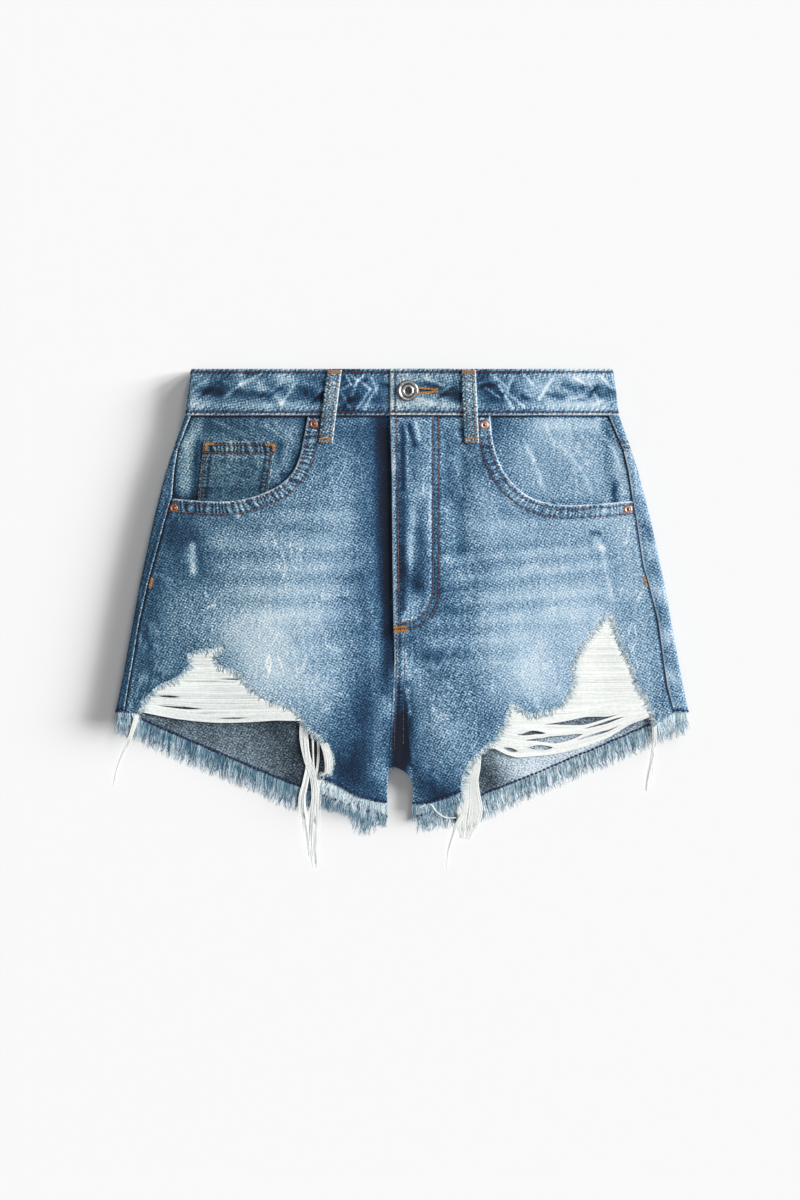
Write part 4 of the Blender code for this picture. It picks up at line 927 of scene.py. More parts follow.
def foldPoints(top, bottom):
    # Closer points where the cloth turns round the side fold.
    drops = np.arange(top, bottom, 2.6)
    return np.array([(halfWidth(d) - foldRadius + past, d) for d in drops
                     for past in np.linspace(-0.4, math.pi * foldRadius + 0.4, 12)])


def backLook(side, seams):
    def look(along, drop):
        wash = backForm["wash"] + (backForm["patches"] if side == "left" else ())
        tone = backTone(side, along) + washTone(along, drop, 0.0, wash)
        lining = washTone(along, drop, *backForm["inside"][side])
        # the side fold's painted light and shade
        tone += backForm["side"][side] * ramp(along - halfWidth(drop), -1.0, 2.0) * ramp(drop, 90, 130)
        rope = np.zeros((len(along), 3))
        for line, width, rows in seams:
            away, way = nearest(along, drop, line)
            tone, rope = seamLook(away, way, tone, rope, width, rows, 0.22, 0.9)
        seamAway = unrolledSeam(side, drop) - along
        tone = tone + 0.46 * bell(seamAway, 1.0) - 0.14 * bell(seamAway - 2.2, 1.0)
        hem = backHem(along) - drop
        tone = tone + 0.2 * bell(hem, 0.7) - 0.34 * bell(hem - 2.4, 1.2)
        lining = lining + 0.1 * bell(hem, 0.5) - 0.34 * bell(hem - 1.2, 0.8)
        return tone, rope, lining
    return look


for side in sign:
    flip = side == "right"
    yokeLine = acrossFold(yokeDrop, side)
    top = acrossFold(lambda s: cut["bandDeep"] + 0 * np.asarray(s), side)
    seam = [(unrolledSeam(side, d), d) for d in seamDrops(cut["bandDeep"], backForm["yoke"][1])[1:-1]]
    cutCloth(
        "back_yoke_" + side, np.array(top + seam + yokeLine[::-1]), backPlace(side),
        backLook(side, [(np.array(yokeLine), backForm["hem"], backForm["rows"])]), finish["back"],
        flip=flip, inner=finish["reverse"],
        extra=[foldPoints(39, 64)])
    crotch = curveThrough(cut["backCrotch"][side], 4)
    hemLine = np.array([(s, float(backHem(s))) for s in np.append(np.arange(12, 241, 3.0), unrolledSeam(side, 281.0))])
    hemLine = roughened(hemLine, seeds["backHem"] + (side == "left"), 0.16)
    seam = [(unrolledSeam(side, d), d) for d in seamDrops(backForm["yoke"][1], cut["sideHem"])[-2:0:-1]]
    centre = [(0.0, d) for d in np.linspace(backForm["yoke"][0], 325.5, 30)[1:-1]]
    cutCloth(
        "back_panel_" + side, np.array([*centre, *crotch, *hemLine, *seam, *yokeLine[::-1]]), backPlace(side),
        backLook(side, [(np.array([(0, 100), (0, 326)]), backForm["hem"], backForm["rows"])]), finish["back"],
        flip=flip, inner=finish["reverse"], extra=[foldPoints(70, 281)])
    backStitches[side] = {
        "rows": [np.array([(s, d - row) for s, d in yokeLine]) for row in backForm["rows"]]
        + [np.array([(row, d) for d in np.arange(106, 325, 3.0)]) for row in backForm["rows"]],
        "hem": hemLine - (0.0, 1.5)}
print("yokes and back panels cut")

facingForm = {
    "under": 15.0, "wall": 1.0, "top": 4.3,
    "coin": ((-103.2, 58.8), (-162.8, 58.2), (-168.2, 108)),
    "coinHem": 10.2, "coinRows": (3.2, 9.8), "coinSide": 2.2,
    # tone: lighter on the left, partly the wash and partly painted light, as that side faces the lamps; shade: depth of
    # the painted shadow under the pocket mouth
    "tone": {"right": 0.40, "left": 0.60}, "shade": {"right": 0.36, "left": 0.14},
    # folds: painted shade and light of folds on the right facing, which lies nearly flat
    "folds": (
        (-167, 60, -170.5, 105, 2, -0.2), (-178, 60, -177, 100, 3.4, 0.12), (-99, 62, -101, 76, 2, -0.12),
        (-104, 88, -100, 94, 7, 0.12), (-92, 50, -96, 78, 2.6, 0.14), (-152, 43, -126, 54, 1.1, 0.16),
        (-114, 43, -98, 56, 1.2, 0.18), (-104, 44, -88, 58, 1, 0.14), (-166, 46, -178, 62, 2.2, 0.12),
        (-140, 44, -112, 50, 4, -0.06), (-160, 46, -134, 53, 5, -0.13), (-187, 84, -189, 114, 5, -0.15),
        (-100, 56, -99, 60, 5, -0.08), (-86, 44, -84, 60, 4, 0.14)),
    "creases": (
        (100, 58, 108, 74, 1.2, 0.2), (108, 74, 117, 99, 1.2, 0.16), (130, 62, 146, 80, 1.2, 0.14),
        (146, 80, 156, 101, 1.2, 0.12), (118, 44, 124, 60, 1.2, 0.14), (140, 44, 144, 58, 1.4, -0.12),
        (92, 48, 100, 58, 3, -0.12), (165, 44, 173, 60, 2.2, -0.16), (170, 58, 181, 84, 1, 0.16),
        (130, 50, 160, 88, 12, 0.06), (112, 43, 160, 45, 4.5, 0.16), (167, 50, 172, 98, 4, -0.2)),
}


def facingHeight(x, drop):
    # Slightly wavy cloth.
    return facingForm["top"] + 0.16 * np.sin(x / 9.0 + drop / 17.0) - 0.16 + 0.22 * np.sin(x / 23.0) * 0.6


def facingLook(side):
    def look(x, drop):
        tone = np.full(len(x), facingForm["tone"][side])
        away, _ = nearest(x, drop, mouthLine[side])
        # painted shadow under the pocket mouth's edge and below the waistband, and a little darker near the waist
        tone = tone - facingForm["shade"][side] * np.exp(-(away / 6.5)) - 0.08 * ramp(drop, 52, 38) + paintedShadowUnderBand(drop)
        if side == "left":
            # painted shadow in the facing's top corner, under the waistband by the mouth
            tone -= 0.22 * np.exp(-((x - 78) / 14.0) ** 2 - ((drop - 50) / 16.0) ** 2)
            tone -= 0.34 * bell(x - 175, 2.6) * ramp(drop, 84, 96)
            tone += washTone(x, drop, 0.0, facingForm["creases"])
        else:
            # painted shade and light of folds beside the coin pocket
            tone = tone - 0.04 * bell(x + 168, 14.0) + washTone(x, drop, 0.0, facingForm["folds"])
        edge = np.abs(x - seamX(side, drop))
        tone = tone + 0.1 * bell(edge - 9, 4.0) - 0.42 * bell(edge, 1.4)
        return tone, np.zeros((len(x), 3))
    return look


for side in sign:
    mouth = curveThrough(cut["mouth"][side], 5)
    hidden = mouth + normals(mouth) * facingForm["under"] * sign[side]
    hidden[0] = (hidden[0][0], cut["bandDeep"])
    hidden = [p for p in hidden if abs(p[0]) < abs(seamX(side, p[1]))]
    seam = [(seamX(side, d), d) for d in seamDrops(cut["bandDeep"], hidden[-1][1])[::-1]]
    cutCloth(
        "pocket_facing_" + side, np.array([*hidden, *seam]), laidOn(facingHeight), facingLook(side), finish["back"],
        wall=facingForm["wall"], inner=finish["reverse"], age=1.5, spacing=1.55)

mouth = [p for p in curveThrough(cut["mouth"]["right"], 4) if -166.0 < p[0] < -106.5]
coinOutline = np.array([*facingForm["coin"], *[(x, drop + 1.2) for x, drop in mouth][::-1]])
coinTop = np.array(facingForm["coin"][:2])
coinSides = [np.array(facingForm["coin"][1:]), np.array([facingForm["coin"][0], coinOutline[-1]])]


def coinHeight(x, drop):
    z = facingHeight(x, drop) + 0.3 + facingForm["wall"]
    away, along = nearest(x, drop, coinTop)
    z += seamRise(away, along, 10.0, facingForm["coinRows"], 0.4)
    for line in coinSides:
        away, along = nearest(x, drop, line)
        z = z - 0.4 * ramp(away, 0.9, 0.0) - 0.15 * bell(away - facingForm["coinSide"], 0.7)
    return z


def coinLook(x, drop):
    tone, rope = np.full(len(x), 0.33), np.zeros((len(x), 3))
    away, along = nearest(x, drop, coinTop)
    tone = tone + 0.1 * bell(away - 12.5, 1.6) - 0.08 * ramp(drop, 92, 100)
    tone, rope = seamLook(away, along, tone, rope, facingForm["coinHem"], facingForm["coinRows"], 0.26)
    for line in coinSides:
        away, along = nearest(x, drop, line)
        tone, rope = seamLook(away, along, tone, rope, 7.5, (facingForm["coinSide"], 7.0), 0.2, 0.55)
    return tone, rope


cutCloth("coin_pocket", coinOutline, laidOn(coinHeight), coinLook, finish["back"],
         wall=facingForm["wall"], spacing=1.7, age=1.9)

pocketEdge = {side: np.array(mirrored(pocketForm["outline"], side), float) for side in sign}


def pocketLook(side):
    def look(x, drop):
        tone, rope = backTone(side, x) + 0.08, np.zeros((len(x), 3))
        away, along = nearest(x, drop, pocketEdge[side], True)
        return seamLook(away, along, tone + 0.1 * ramp(away, 10, 40), rope, pocketForm["hem"],
                        pocketForm["rows"], 0.3, 0.9)
    return look


for side in sign:
    cutCloth(
        "back_pocket_" + side, pocketEdge[side],
        lambda x, drop, side=side: spots(x, drop, 0.35 * ramp(nearest(x, drop, pocketEdge[side], True)[0], 1.0, 0.0)),
        pocketLook(side), finish["back"], spacing=3.2, flip=False)
print("pockets cut")


bandForm = {
    "top": 6.2, "wall": 2.0, "lap": 2.3, "edge": -0.8,
    "lapEnd": -10.0, "underlap": 32.0, "lapReach": 46.0,  # x of upper end, lower end, and where the lap is down
    "button": (5.1, 17.5), "eye": 2.4, "slitEnd": 27.0, "slit": 0.35,
    # tone: lighter on the left, partly the wash and partly painted light, as that side faces the lamps
    "rows": (2, 34.8), "endRow": 4.4, "tone": {"right": 0.42, "left": 0.53},
    "shades": ((44, 6, -0.16), (-46, 13, -0.3), (-16, 6, -0.16), (70, 9, -0.16), (150, 22, 0.1), (-110, 20, 0.06)),
    "creases": {"count": 110, "long": (8, 26), "spread": (1.2, 2.6), "deep": (0.1, 0.34), "slope": (0.1, 1.1)},
    "wash": (
        (-171, 15, -149, 19, 3.06, -0.3), (-136, 18, -107, 22, 2.7, -0.3), (-128, 4, -108, 5.5, 1.8, -0.23),
        (-110, 12, -92, 21, 2.88, -0.18), (-84, 16, -66, 24, 3.42, -0.28), (-87, 5, -67, 8, 2.34, -0.16),
        (134, 13, 175, 19, 3.42, -0.37), (120, 20.5, 131, 23, 1.62, -0.3), (64, 9, 80, 26, 5.4, -0.23),
        (97, 4, 117, 8, 2.34, -0.11), (30, 12, 47, 22, 3.96, -0.23), (-169, 26, -136, 29, 3.2, 0.14),
        (-134, 3, -129, 17, 2.4, 0.16), (-107, 5, -82, 10, 3.2, 0.14), (-1, 4, 47, 7, 3.2, 0.07),
        (3, 26, 45, 29, 3.4, 0.16), (82, 6, 116, 16, 4.6, 0.12), (135, 27, 172, 29, 3, 0.12),
        (-47, 3, -42, 12, 0.77, 0.39), (-42, 12, -50, 17, 0.77, 0.36), (-36, 8, -26, 16, 0.77, 0.42),
        (-26, 16, -36, 32, 0.77, 0.42), (-20, 13, -31, 33, 0.77, 0.36), (69, 15, 80, 23, 0.77, 0.36),
        (80, 13, 90, 32, 0.77, 0.45), (84, 17, 100, 31, 0.77, 0.42), (143, 7, 151, 12, 0.68, 0.36),
        (164, 5, 175, 18, 0.77, 0.36), (-145, 23, -133, 12, 1.02, 0.3), (-133, 12, -115, 3, 1.02, 0.3),
        (-98, 28, -88, 12, 0.85, 0.3), (-160, 8, -176, 20, 0.85, 0.27), (112, 24, 124, 8, 0.94, 0.3),
        (56, 6, 62, 22, 0.85, 0.24), (8, 22, 24, 27, 1.02, 0.18), (20, 8, 34, 13, 0.85, 0.24),
        (-44, 3, -37, 9, 0.7, 0.36), (-37, 9, -41, 22, 0.7, 0.34), (-32, 5, -40, 14, 0.6, 0.3),
        (-24, 8, -20, 20, 0.7, 0.3), (-49, 20, -42, 32, 0.8, 0.3), (74, 4, 86, 14, 0.8, 0.34),
        (92, 5, 84, 24, 0.7, 0.32), (100, 3, 108, 12, 0.8, 0.3), (154, 10, 160, 26, 0.7, 0.28),
        (30, 20, 44, 23, 1.2, -0.2), (-56, 24, -20, 26, 2.2, -0.1), (-188, 4, -179, 26, 7, 0.26),
        (-150, 6, -144, 28, 8, -0.2), (16, 12, 32, 21, 3.5, -0.12), (-8, 37.2, 44, 37.2, 1.2, 0.2),
        (118, 4, 152, 7, 6, 0.16), (84, 8, 94, 28, 8, -0.22), (-26, 18, -20, 28, 5, -0.1),
        (-110, 26, -86, 32, 6, 0.12), (124, 32, 156, 34, 4, 0.12)),
}
bandRadius = bandForm["top"] / 2
bandMiddle = float(halfWidth(cut["bandDeep"] / 2)) - bandRadius
bandMarks = np.cumsum([0, bandMiddle - bandForm["lapEnd"], math.pi * bandRadius, 2 * bandMiddle,
                       math.pi * bandRadius, bandMiddle + bandForm["underlap"]])


def bandAt(along):
    # x on the garment of a place along the band.
    return np.select([along <= bandMarks[1], along < bandMarks[2], along <= bandMarks[3], along < bandMarks[4]],
                     [bandForm["lapEnd"] + along, bandMiddle, bandMiddle - (along - bandMarks[2]), -bandMiddle],
                     along - bandMarks[4] - bandMiddle)


def scatterCreases():
    # Crush marks from the wash: short bowed folds that rise to the right on the front.
    chance = np.random.default_rng(seeds["creases"])
    form = bandForm["creases"]
    rows = []
    for k in range(form["count"]):
        slope = math.atan(chance.uniform(*form["slope"])) * (1 if chance.random() < 0.8 else -1)
        at, level, half = chance.uniform(0, bandMarks[-1]), chance.uniform(5, 32), chance.uniform(*form["long"]) * 0.5
        rows.append((at, level, slope, half, chance.uniform(*form["spread"]), chance.uniform(*form["deep"]),
                     chance.uniform(-3, 3)))
    return rows


bandCreases = scatterCreases()


def crushOf(along, drop):
    # Depth of the crush marks, and the pale ridges beside them.
    wavy = along + 1.6 * np.sin(drop / 4.3 + along / 31.0)
    tall = drop + 1.1 * np.sin(along / 5.7)
    deep, ridge = np.zeros(len(along)), np.zeros(len(along))
    for at, level, slope, half, spread, depth, bow in bandCreases:
        c, s = math.cos(slope), math.sin(slope)
        t = (wavy - at) * c - (tall - level) * s
        off = (wavy - at) * s + (tall - level) * c - bow * (1 - (t / half) ** 2)
        ends = ramp(np.abs(t), half, half * 0.5)
        deep = np.maximum(deep, depth * ends * bell(off, spread))
        ridge = np.maximum(ridge, depth * ends * bell(off + 2.0 * spread, (1.3 * spread)))
    return deep, ridge


def bandDent(x, along, drop):
    # Rolled edges, sunk stitch rows, crush marks, and the buttonhole's raised rim.
    dent = -0.7 * ramp(np.minimum(drop - bandForm["edge"], cut["bandDeep"] - drop), 1.3, 0.0)
    for row in bandForm["rows"]:
        dent -= 0.24 * bell(drop - row, 0.8)
    deep, ridge = crushOf(along, drop)
    dent += (0.5 * ridge - 0.9 * deep) * ramp(np.abs(drop - 18), 17, 12)
    atEnd = -0.7 * ramp(along, 1.3, 0.0) - 0.22 * bell(along - bandForm["endRow"], 0.7)
    dent += np.where(along < 70, atEnd, 0)
    eyeX, eyeDrop = bandForm["button"]
    gap = nearest(x, drop, np.array([(eyeX, eyeDrop), (bandForm["slitEnd"], eyeDrop)]))[0]
    return dent + np.where(along < 60, 0.35 * bell(gap - 2.2, 1.3), 0)


def bandPlace(rise=0.0):
    # The band runs from its lapped end round the left fold, over the back and round the right fold to its lower end.
    def place(along, drop):
        along, drop = np.asarray(along, float), np.asarray(drop, float)
        stretch = (halfWidth(drop) - bandRadius) / bandMiddle
        x = bandAt(along) * stretch
        turn1 = np.clip((along - bandMarks[1]) / bandRadius, 0, math.pi)
        turn2 = np.clip((along - bandMarks[3]) / bandRadius, 0, math.pi)
        firstFold = (along > bandMarks[1]) & (along < bandMarks[2])
        secondFold = (along > bandMarks[3]) & (along < bandMarks[4])
        back = (along >= bandMarks[2]) & (along <= bandMarks[3])
        out = rise + bandDent(x, along, drop)
        lap = bandForm["lap"] * ramp(x, bandForm["lapReach"], bandForm["underlap"])
        upper = bandForm["top"] + np.where(along <= bandMarks[1], lap, 0)
        z = np.where(back, backLift(x, drop) - out, upper + out)
        reach = bandRadius + out
        x = np.where(firstFold, bandMiddle * stretch + reach * np.sin(turn1), x)
        z = np.where(firstFold, bandRadius + reach * np.cos(turn1), z)
        x = np.where(secondFold, -bandMiddle * stretch - reach * np.sin(turn2), x)
        z = np.where(secondFold, bandRadius - reach * np.cos(turn2), z)
        return spots(x, drop, z)
    return place


def bandLook(along, drop):
    x = bandAt(along)
    # lighter towards the wearer's left, partly the wash and partly painted light
    share = ramp(x, -60, 90)
    tone = bandForm["tone"]["right"] * (1 - share) + bandForm["tone"]["left"] * share
    onFrontOfBand = (along < 200) | (along > bandMarks[4])
    for at, spread, change in bandForm["shades"]:
        tone += change * bell(x - at, spread) * onFrontOfBand
    tone += washTone(x, drop, 0.0, bandForm["wash"]) * onFrontOfBand
    deep, ridge = crushOf(along, drop)
    tone += (0.5 * ridge - 0.8 * deep) * ramp(np.abs(drop - 18), 18, 14)
    for row in bandForm["rows"]:
        tone -= 0.36 * bell(drop - row, 0.9)
    tone += 0.10 * bell(drop - 29.5, 2.6)
    worn = 0.8 + 0.3 * np.sin(along / 5.3) * np.sin(along / 13.0)
    tone = tone + 0.44 * worn * bell(drop - cut["bandDeep"], 1.3) + 0.2 * worn * bell(drop + 0.6, 0.9)
    atEnd = 0.22 * ramp(along, 3.2, 1.4) + 0.1 * ramp(along, 9, 7) - 0.3 * bell(along - 4.6, 1.0)
    tone += np.where(along < 70, atEnd, 0)
    away = np.minimum(np.abs(drop - 34.8), np.abs(drop - 2.0))
    rope = np.column_stack((along, drop * 5.0, 0.6 * ramp(away, 8.0, 1.0)))
    return tone, rope


def keyhole(grow=0.0):
    # The buttonhole: a round eye with a slit.
    x, drop = bandForm["button"]
    eye, slit = bandForm["eye"] + grow, bandForm["slit"] + grow
    turns = np.radians(np.arange(70, 291, 12 if not grow else 8))
    hole = [(x + eye * math.cos(a), drop + eye * math.sin(a)) for a in turns]
    end = bandForm["slitEnd"] + grow * 0.4
    return [(end, drop - slit * 0.5)] + hole[::-1] + [(end, drop + slit * 0.5)]


edge, deep, columns = bandForm["edge"], cut["bandDeep"], np.arange(0, bandMarks[5], 4.0)
bandOutline = [*((s, edge) for s in columns), (bandMarks[5], edge), (bandMarks[5], deep),
               *((s, deep) for s in columns[::-1])]
foldColumns = np.array([(mark + s, d) for mark in (bandMarks[1], bandMarks[3])
                        for s in np.linspace(-0.5, math.pi * bandRadius + 0.5, 12) for d in np.arange(3.0, 35.5, 2.6)])
cutCloth(
    "waistband", np.array(bandOutline), bandPlace(), bandLook, finish["band"], wall=bandForm["wall"],
    holes=[np.array(keyhole()) - (bandForm["lapEnd"], 0)], rows=(0.5, 1.3, 2.0, 3.2), extra=[foldColumns], spacing=1.25,
    grey=lambda laid: 1.0 * ramp(np.abs(laid[:, 0] - 0.018), 0.036, 0.024) * (laid[:, 2] > 0.006))


def loopPlace(xTop, xEnd, rise=0.0):
    def place(x, drop):
        across = np.abs(x - xTop - (xEnd - xTop) * drop / loopForm["end"])
        roll = 0.0 if rise else 0.45 * ramp(loopForm["width"] / 2 - across, 1.0, 0.0)
        under = np.where(drop < 39.5, bandForm["top"], cut["flatHeight"])
        z = under + lookUp(loopForm["arch"], drop) + loopForm["wall"] + rise - roll
        return spots(x, drop, z - 0.16 * bell(across - loopForm["row"], 0.7))
    return place


def loopLook(xTop, xEnd, base):
    def look(x, drop):
        off = x - xTop - (xEnd - xTop) * drop / loopForm["end"]
        half = loopForm["width"] / 2
        # the edge towards the lamps paler, partly wear and partly painted highlight; the other edge darker, painted
        # shade
        tone = np.full(len(x), base) + 0.40 * bell(off - half, 1.2) - 0.2 * bell(off + half, 1.4)
        tone = tone - 0.12 * bell(np.abs(off) - loopForm["row"], 0.8) + 0.1 * bell(drop - 20, 14.0)
        return tone, np.column_stack((drop, np.abs(off), 0.5 * ramp(np.abs(off), 3.0, 5.5)))
    return look


for side, (xTop, xEnd) in loopForm["front"].items():
    half = loopForm["width"] / 2
    rows = np.arange(0.3, loopForm["end"] + 0.1, 4.02)
    at = xTop + (xEnd - xTop) * rows / loopForm["end"]
    outline = np.array([*zip(at + half, rows), *zip(at[::-1] - half, rows[::-1])])
    cutCloth("belt_loop_front_" + side, outline, loopPlace(xTop, xEnd), loopLook(xTop, xEnd, 0.46), finish["loop"],
             wall=loopForm["wall"], spacing=1.8, age=2.0, grey=lambda laid: 0.9)
for side, x in backLoops.items():
    cutCloth(
        "belt_loop_back_" + side, np.array(loopOutline(x, x)),
        lambda at, drop, x=x: spots(at, drop, 0.35 * ramp(loopForm["width"] / 2 - np.abs(at - x), 1.0, 0.0)),
        loopLook(x, x, 0.42), finish["loop"], spacing=2.2, flip=False)
print("waistband and belt loops cut")

metalForm = {
    "steps": 48,
    "button": {"radius": 8.5, "base": 8.8,
               # share of the radius, height over the base
               "profile": (
                   (0, -2.3), (1.8 / 8.5, -2.3), (1.8 / 8.5, 0.2), (0.84, 0), (0.93, 0.15), (0.985, 0.5), (1, 0.95),
                   (0.985, 1.45), (0.94, 1.85), (0.88, 2.05), (0.82, 1.98), (0.76, 1.68), (0.72, 1.45),
                   (0.66, 1.42), (0.63, 1.62), (0.6, 1.64), (0.56, 1.46), (0.52, 1.5), (0.49, 1.78), (0.45, 1.98),
                   (0.41, 1.98), (0.37, 1.72), (0.33, 1.2), (0.28, 0.9), (0.2, 0.84), (0, 0.82)),
               "dark": ((0, 0.34), (0.57, 0.71), (0.96, 1.01))},
    "rivet": {"radius": 3.45, "base": 6.3, "dark": ((0, 0.34),),
              "profile": (
                  (0, 0), (0.9, 0), (0.98, 0.1), (1, 0.28), (0.97, 0.5), (0.88, 0.78), (0.76, 0.92), (0.64, 0.9),
                  (0.54, 0.72), (0.47, 0.5), (0.4, 0.48), (0.34, 0.66), (0.26, 0.86), (0.14, 0.98), (0, 1))},
    "rivetsAt": {"right_centre": (-72.4, 44.6), "right_side": (-187, 113.6), "left_centre": (67.6, 45.4),
                 "left_side": (185.4, 114.6)},
}


def turnedMetal(name, at, material, radius, base, profile, dark):
    # Turned about its own axis and welded at both poles. `dark` gives rings, as shares of the radius, in a dark finish
    # that is partly tarnish and partly painted dark reflection.
    bm = bmesh.new()
    rings = []
    for share, height in profile:
        turns = np.linspace(0, 2 * math.pi, metalForm["steps"], endpoint=False)
        x, drop = at[0] + radius * share * np.cos(turns), at[1] + radius * share * np.sin(turns)
        rings.append([bm.verts.new(p) for p in spots(x, drop, np.full(len(turns), base + height))])
    for a, b in zip(rings, rings[1:]):
        for k in range(len(a)):
            bm.faces.new((a[k], a[k - 1], b[k - 1], b[k]))
    bmesh.ops.remove_doubles(bm, verts=bm.verts, dist=1e-6)
    bmesh.ops.dissolve_degenerate(bm, edges=bm.edges, dist=1e-7)
    bmesh.ops.recalc_face_normals(bm, faces=bm.faces)
    centre = Vector(spots(*at, base)[0])
    for face in bm.faces:
        face.smooth = True
        middle = face.calc_center_median() - centre
        share = math.hypot(middle.x, middle.y) / (radius * mm)
        # the dark rings: tarnish in the hollows and a painted dark reflection, on the outer edge too
        if middle.z > 0.0002 and any(low <= share <= high for low, high in dark):
            face.material_index = 1
    mesh = bpy.data.meshes.new(name)
    bm.to_mesh(mesh)
    bm.free()
    mesh.materials.append(finish[material])
    mesh.materials.append(finish["tarnishAndReflection"])
    return newObject(name, mesh)


metal = {"button": turnedMetal("shankButton", bandForm["button"], "steel", **metalForm["button"])}
for place, at in metalForm["rivetsAt"].items():
    # the rivets on the wearer's right, the side away from the lamps, in a darker copper
    copper = "darkerCopper" if place.startswith("right") else "copper"
    metal["rivet_" + place] = turnedMetal("copperRivet_" + place, at, copper, **metalForm["rivet"])
print("button and rivets turned")


# Node trees for sewing, yarns and fringe.
def chanceBetween(tree, low, high, seed, past=0.0):
    # `past` keeps the draws of one tree apart.
    seed = plus(tree, seed, past) if past else seed
    return addNode(tree, "FunctionNodeRandomValue", {2: low, 3: high, 8: seed}, data_type="FLOAT").outputs[1]


def attribute(tree, name, kind="FLOAT"):
    named = addNode(tree, "GeometryNodeInputNamedAttribute", {"Name": name}, data_type=kind)
    return socketOf(named.outputs, "Attribute")


def shaped(tree, kind, geometry, **inputs):
    return outOf(tree, "GeometryNode" + kind, {0: geometry, **inputs})


def store(tree, geometry, name, value, domain="POINT", kind="FLOAT"):
    return outOf(tree, "GeometryNodeStoreNamedAttribute", {"Geometry": geometry, "Name": name, "Value": value},
                 data_type=kind, domain=domain)


def finished(tree, geometry, material, target):
    smooth = shaped(tree, "SetShadeSmooth", shaped(tree, "RealizeInstances", geometry))
    link(tree, shaped(tree, "SetMaterial", smooth, Material=material), target)


def turned(tree, ahead, angle, **settings):
    # Faces ahead, then turns about the upright axis.
    facing = outOf(tree, "FunctionNodeAlignRotationToVector", {"Vector": ahead}, axis="X", **settings)
    spin = outOf(tree, "FunctionNodeAxisAngleToRotation", {"Axis": (0, 0, 1), "Angle": angle})
    return outOf(tree, "FunctionNodeRotateRotation", {0: facing, 1: spin}, rotation_space="LOCAL")


def makeSewingTree():
    tree, given, out = makeGroup(
        "sewing", "GeometryNodeTree",
        {"Geometry": "Geometry", "Pitch": 0.0032, "Length": 0.0027, "Width": 0.0008, "Height": 0.0006, "Turn": 0.0,
         "Unevenness": 0.1, "Seed": 0, "Thread": "Material"}, {"Geometry": "Geometry"})
    path = shaped(tree, "MeshToCurve", given["Geometry"])
    dots = addNode(tree, "GeometryNodeCurveToPoints", {"Curve": path, "Length": given["Pitch"]}, mode="LENGTH")
    uneven = given["Unevenness"]
    turn = plus(tree, given["Turn"], chanceBetween(tree, times(tree, uneven, -1.0), uneven, given["Seed"]))
    facing = turned(tree, dots.outputs["Tangent"], turn)
    size = joined(tree, X=given["Length"], Y=given["Width"], Z=given["Height"])
    size = vector(tree, "SCALE", size, scale=chanceBetween(tree, 0.44, 0.54, given["Seed"], 7.0))
    bead = outOf(tree, "GeometryNodeMeshUVSphere", {"Segments": 6, "Rings": 5, "Radius": 1.0})
    placed = shaped(tree, "InstanceOnPoints", dots.outputs[0], Instance=bead, Rotation=facing, Scale=size)
    placed = store(tree, placed, "shade", chanceBetween(tree, 0.15, 0.85, given["Seed"], 3.0), "INSTANCE")
    finished(tree, placed, given["Thread"], out["Geometry"])
    return tree


def tube(tree, curve, radius, sides, scale):
    ring = outOf(tree, "GeometryNodeCurvePrimitiveCircle", {"Resolution": sides, "Radius": radius})
    return outOf(tree, "GeometryNodeCurveToMesh",
                 {"Curve": curve, "Profile Curve": ring, "Scale": scale, "Fill Caps": True})


def wander(tree, size, seed):
    # A smooth random push for each strand, in three directions.
    at = outOf(tree, "GeometryNodeInputPosition")
    noise = addNode(tree, "ShaderNodeTexNoise", {"Vector": at, "W": seed, "Scale": size, "Detail": 1.0},
                    noise_dimensions="4D")
    return vector(tree, "SUBTRACT", noise.outputs["Color"], (0.5, 0.5, 0.5))


def makeYarnTree():
    tree, given, out = makeGroup(
        "yarn spinning", "GeometryNodeTree",
        {"Geometry": "Geometry", "Radius": 0.0004, "Sides": 4, "Taper": 0.0, "Wobble": 0.0004, "Wobble Scale": 60.0,
         "Palest": 1.0, "Darkest": 0.5, "Seed": 0, "Thread": "Material"}, {"Geometry": "Geometry"})
    path = shaped(tree, "MeshToCurve", given["Geometry"])
    path = store(tree, path, "shade", chanceBetween(tree, given["Darkest"], given["Palest"], given["Seed"]), "CURVE")
    path = store(tree, path, "own", chanceBetween(tree, 0.0, 50.0, given["Seed"], 5.0), "CURVE")
    push = wander(tree, given["Wobble Scale"], attribute(tree, "own"))
    push = vector(tree, "MULTIPLY", push, (1.0, 1.0, 0.6))
    push = vector(tree, "SCALE", push, scale=given["Wobble"])
    path = shaped(tree, "SetPosition", path, Offset=push)
    thin = times(tree, calc(tree, "POWER", attribute(tree, "along"), 3.0), given["Taper"])
    yarn = tube(tree, path, given["Radius"], given["Sides"], minus(tree, 1.0, thin))
    finished(tree, yarn, given["Thread"], out["Geometry"])
    return tree


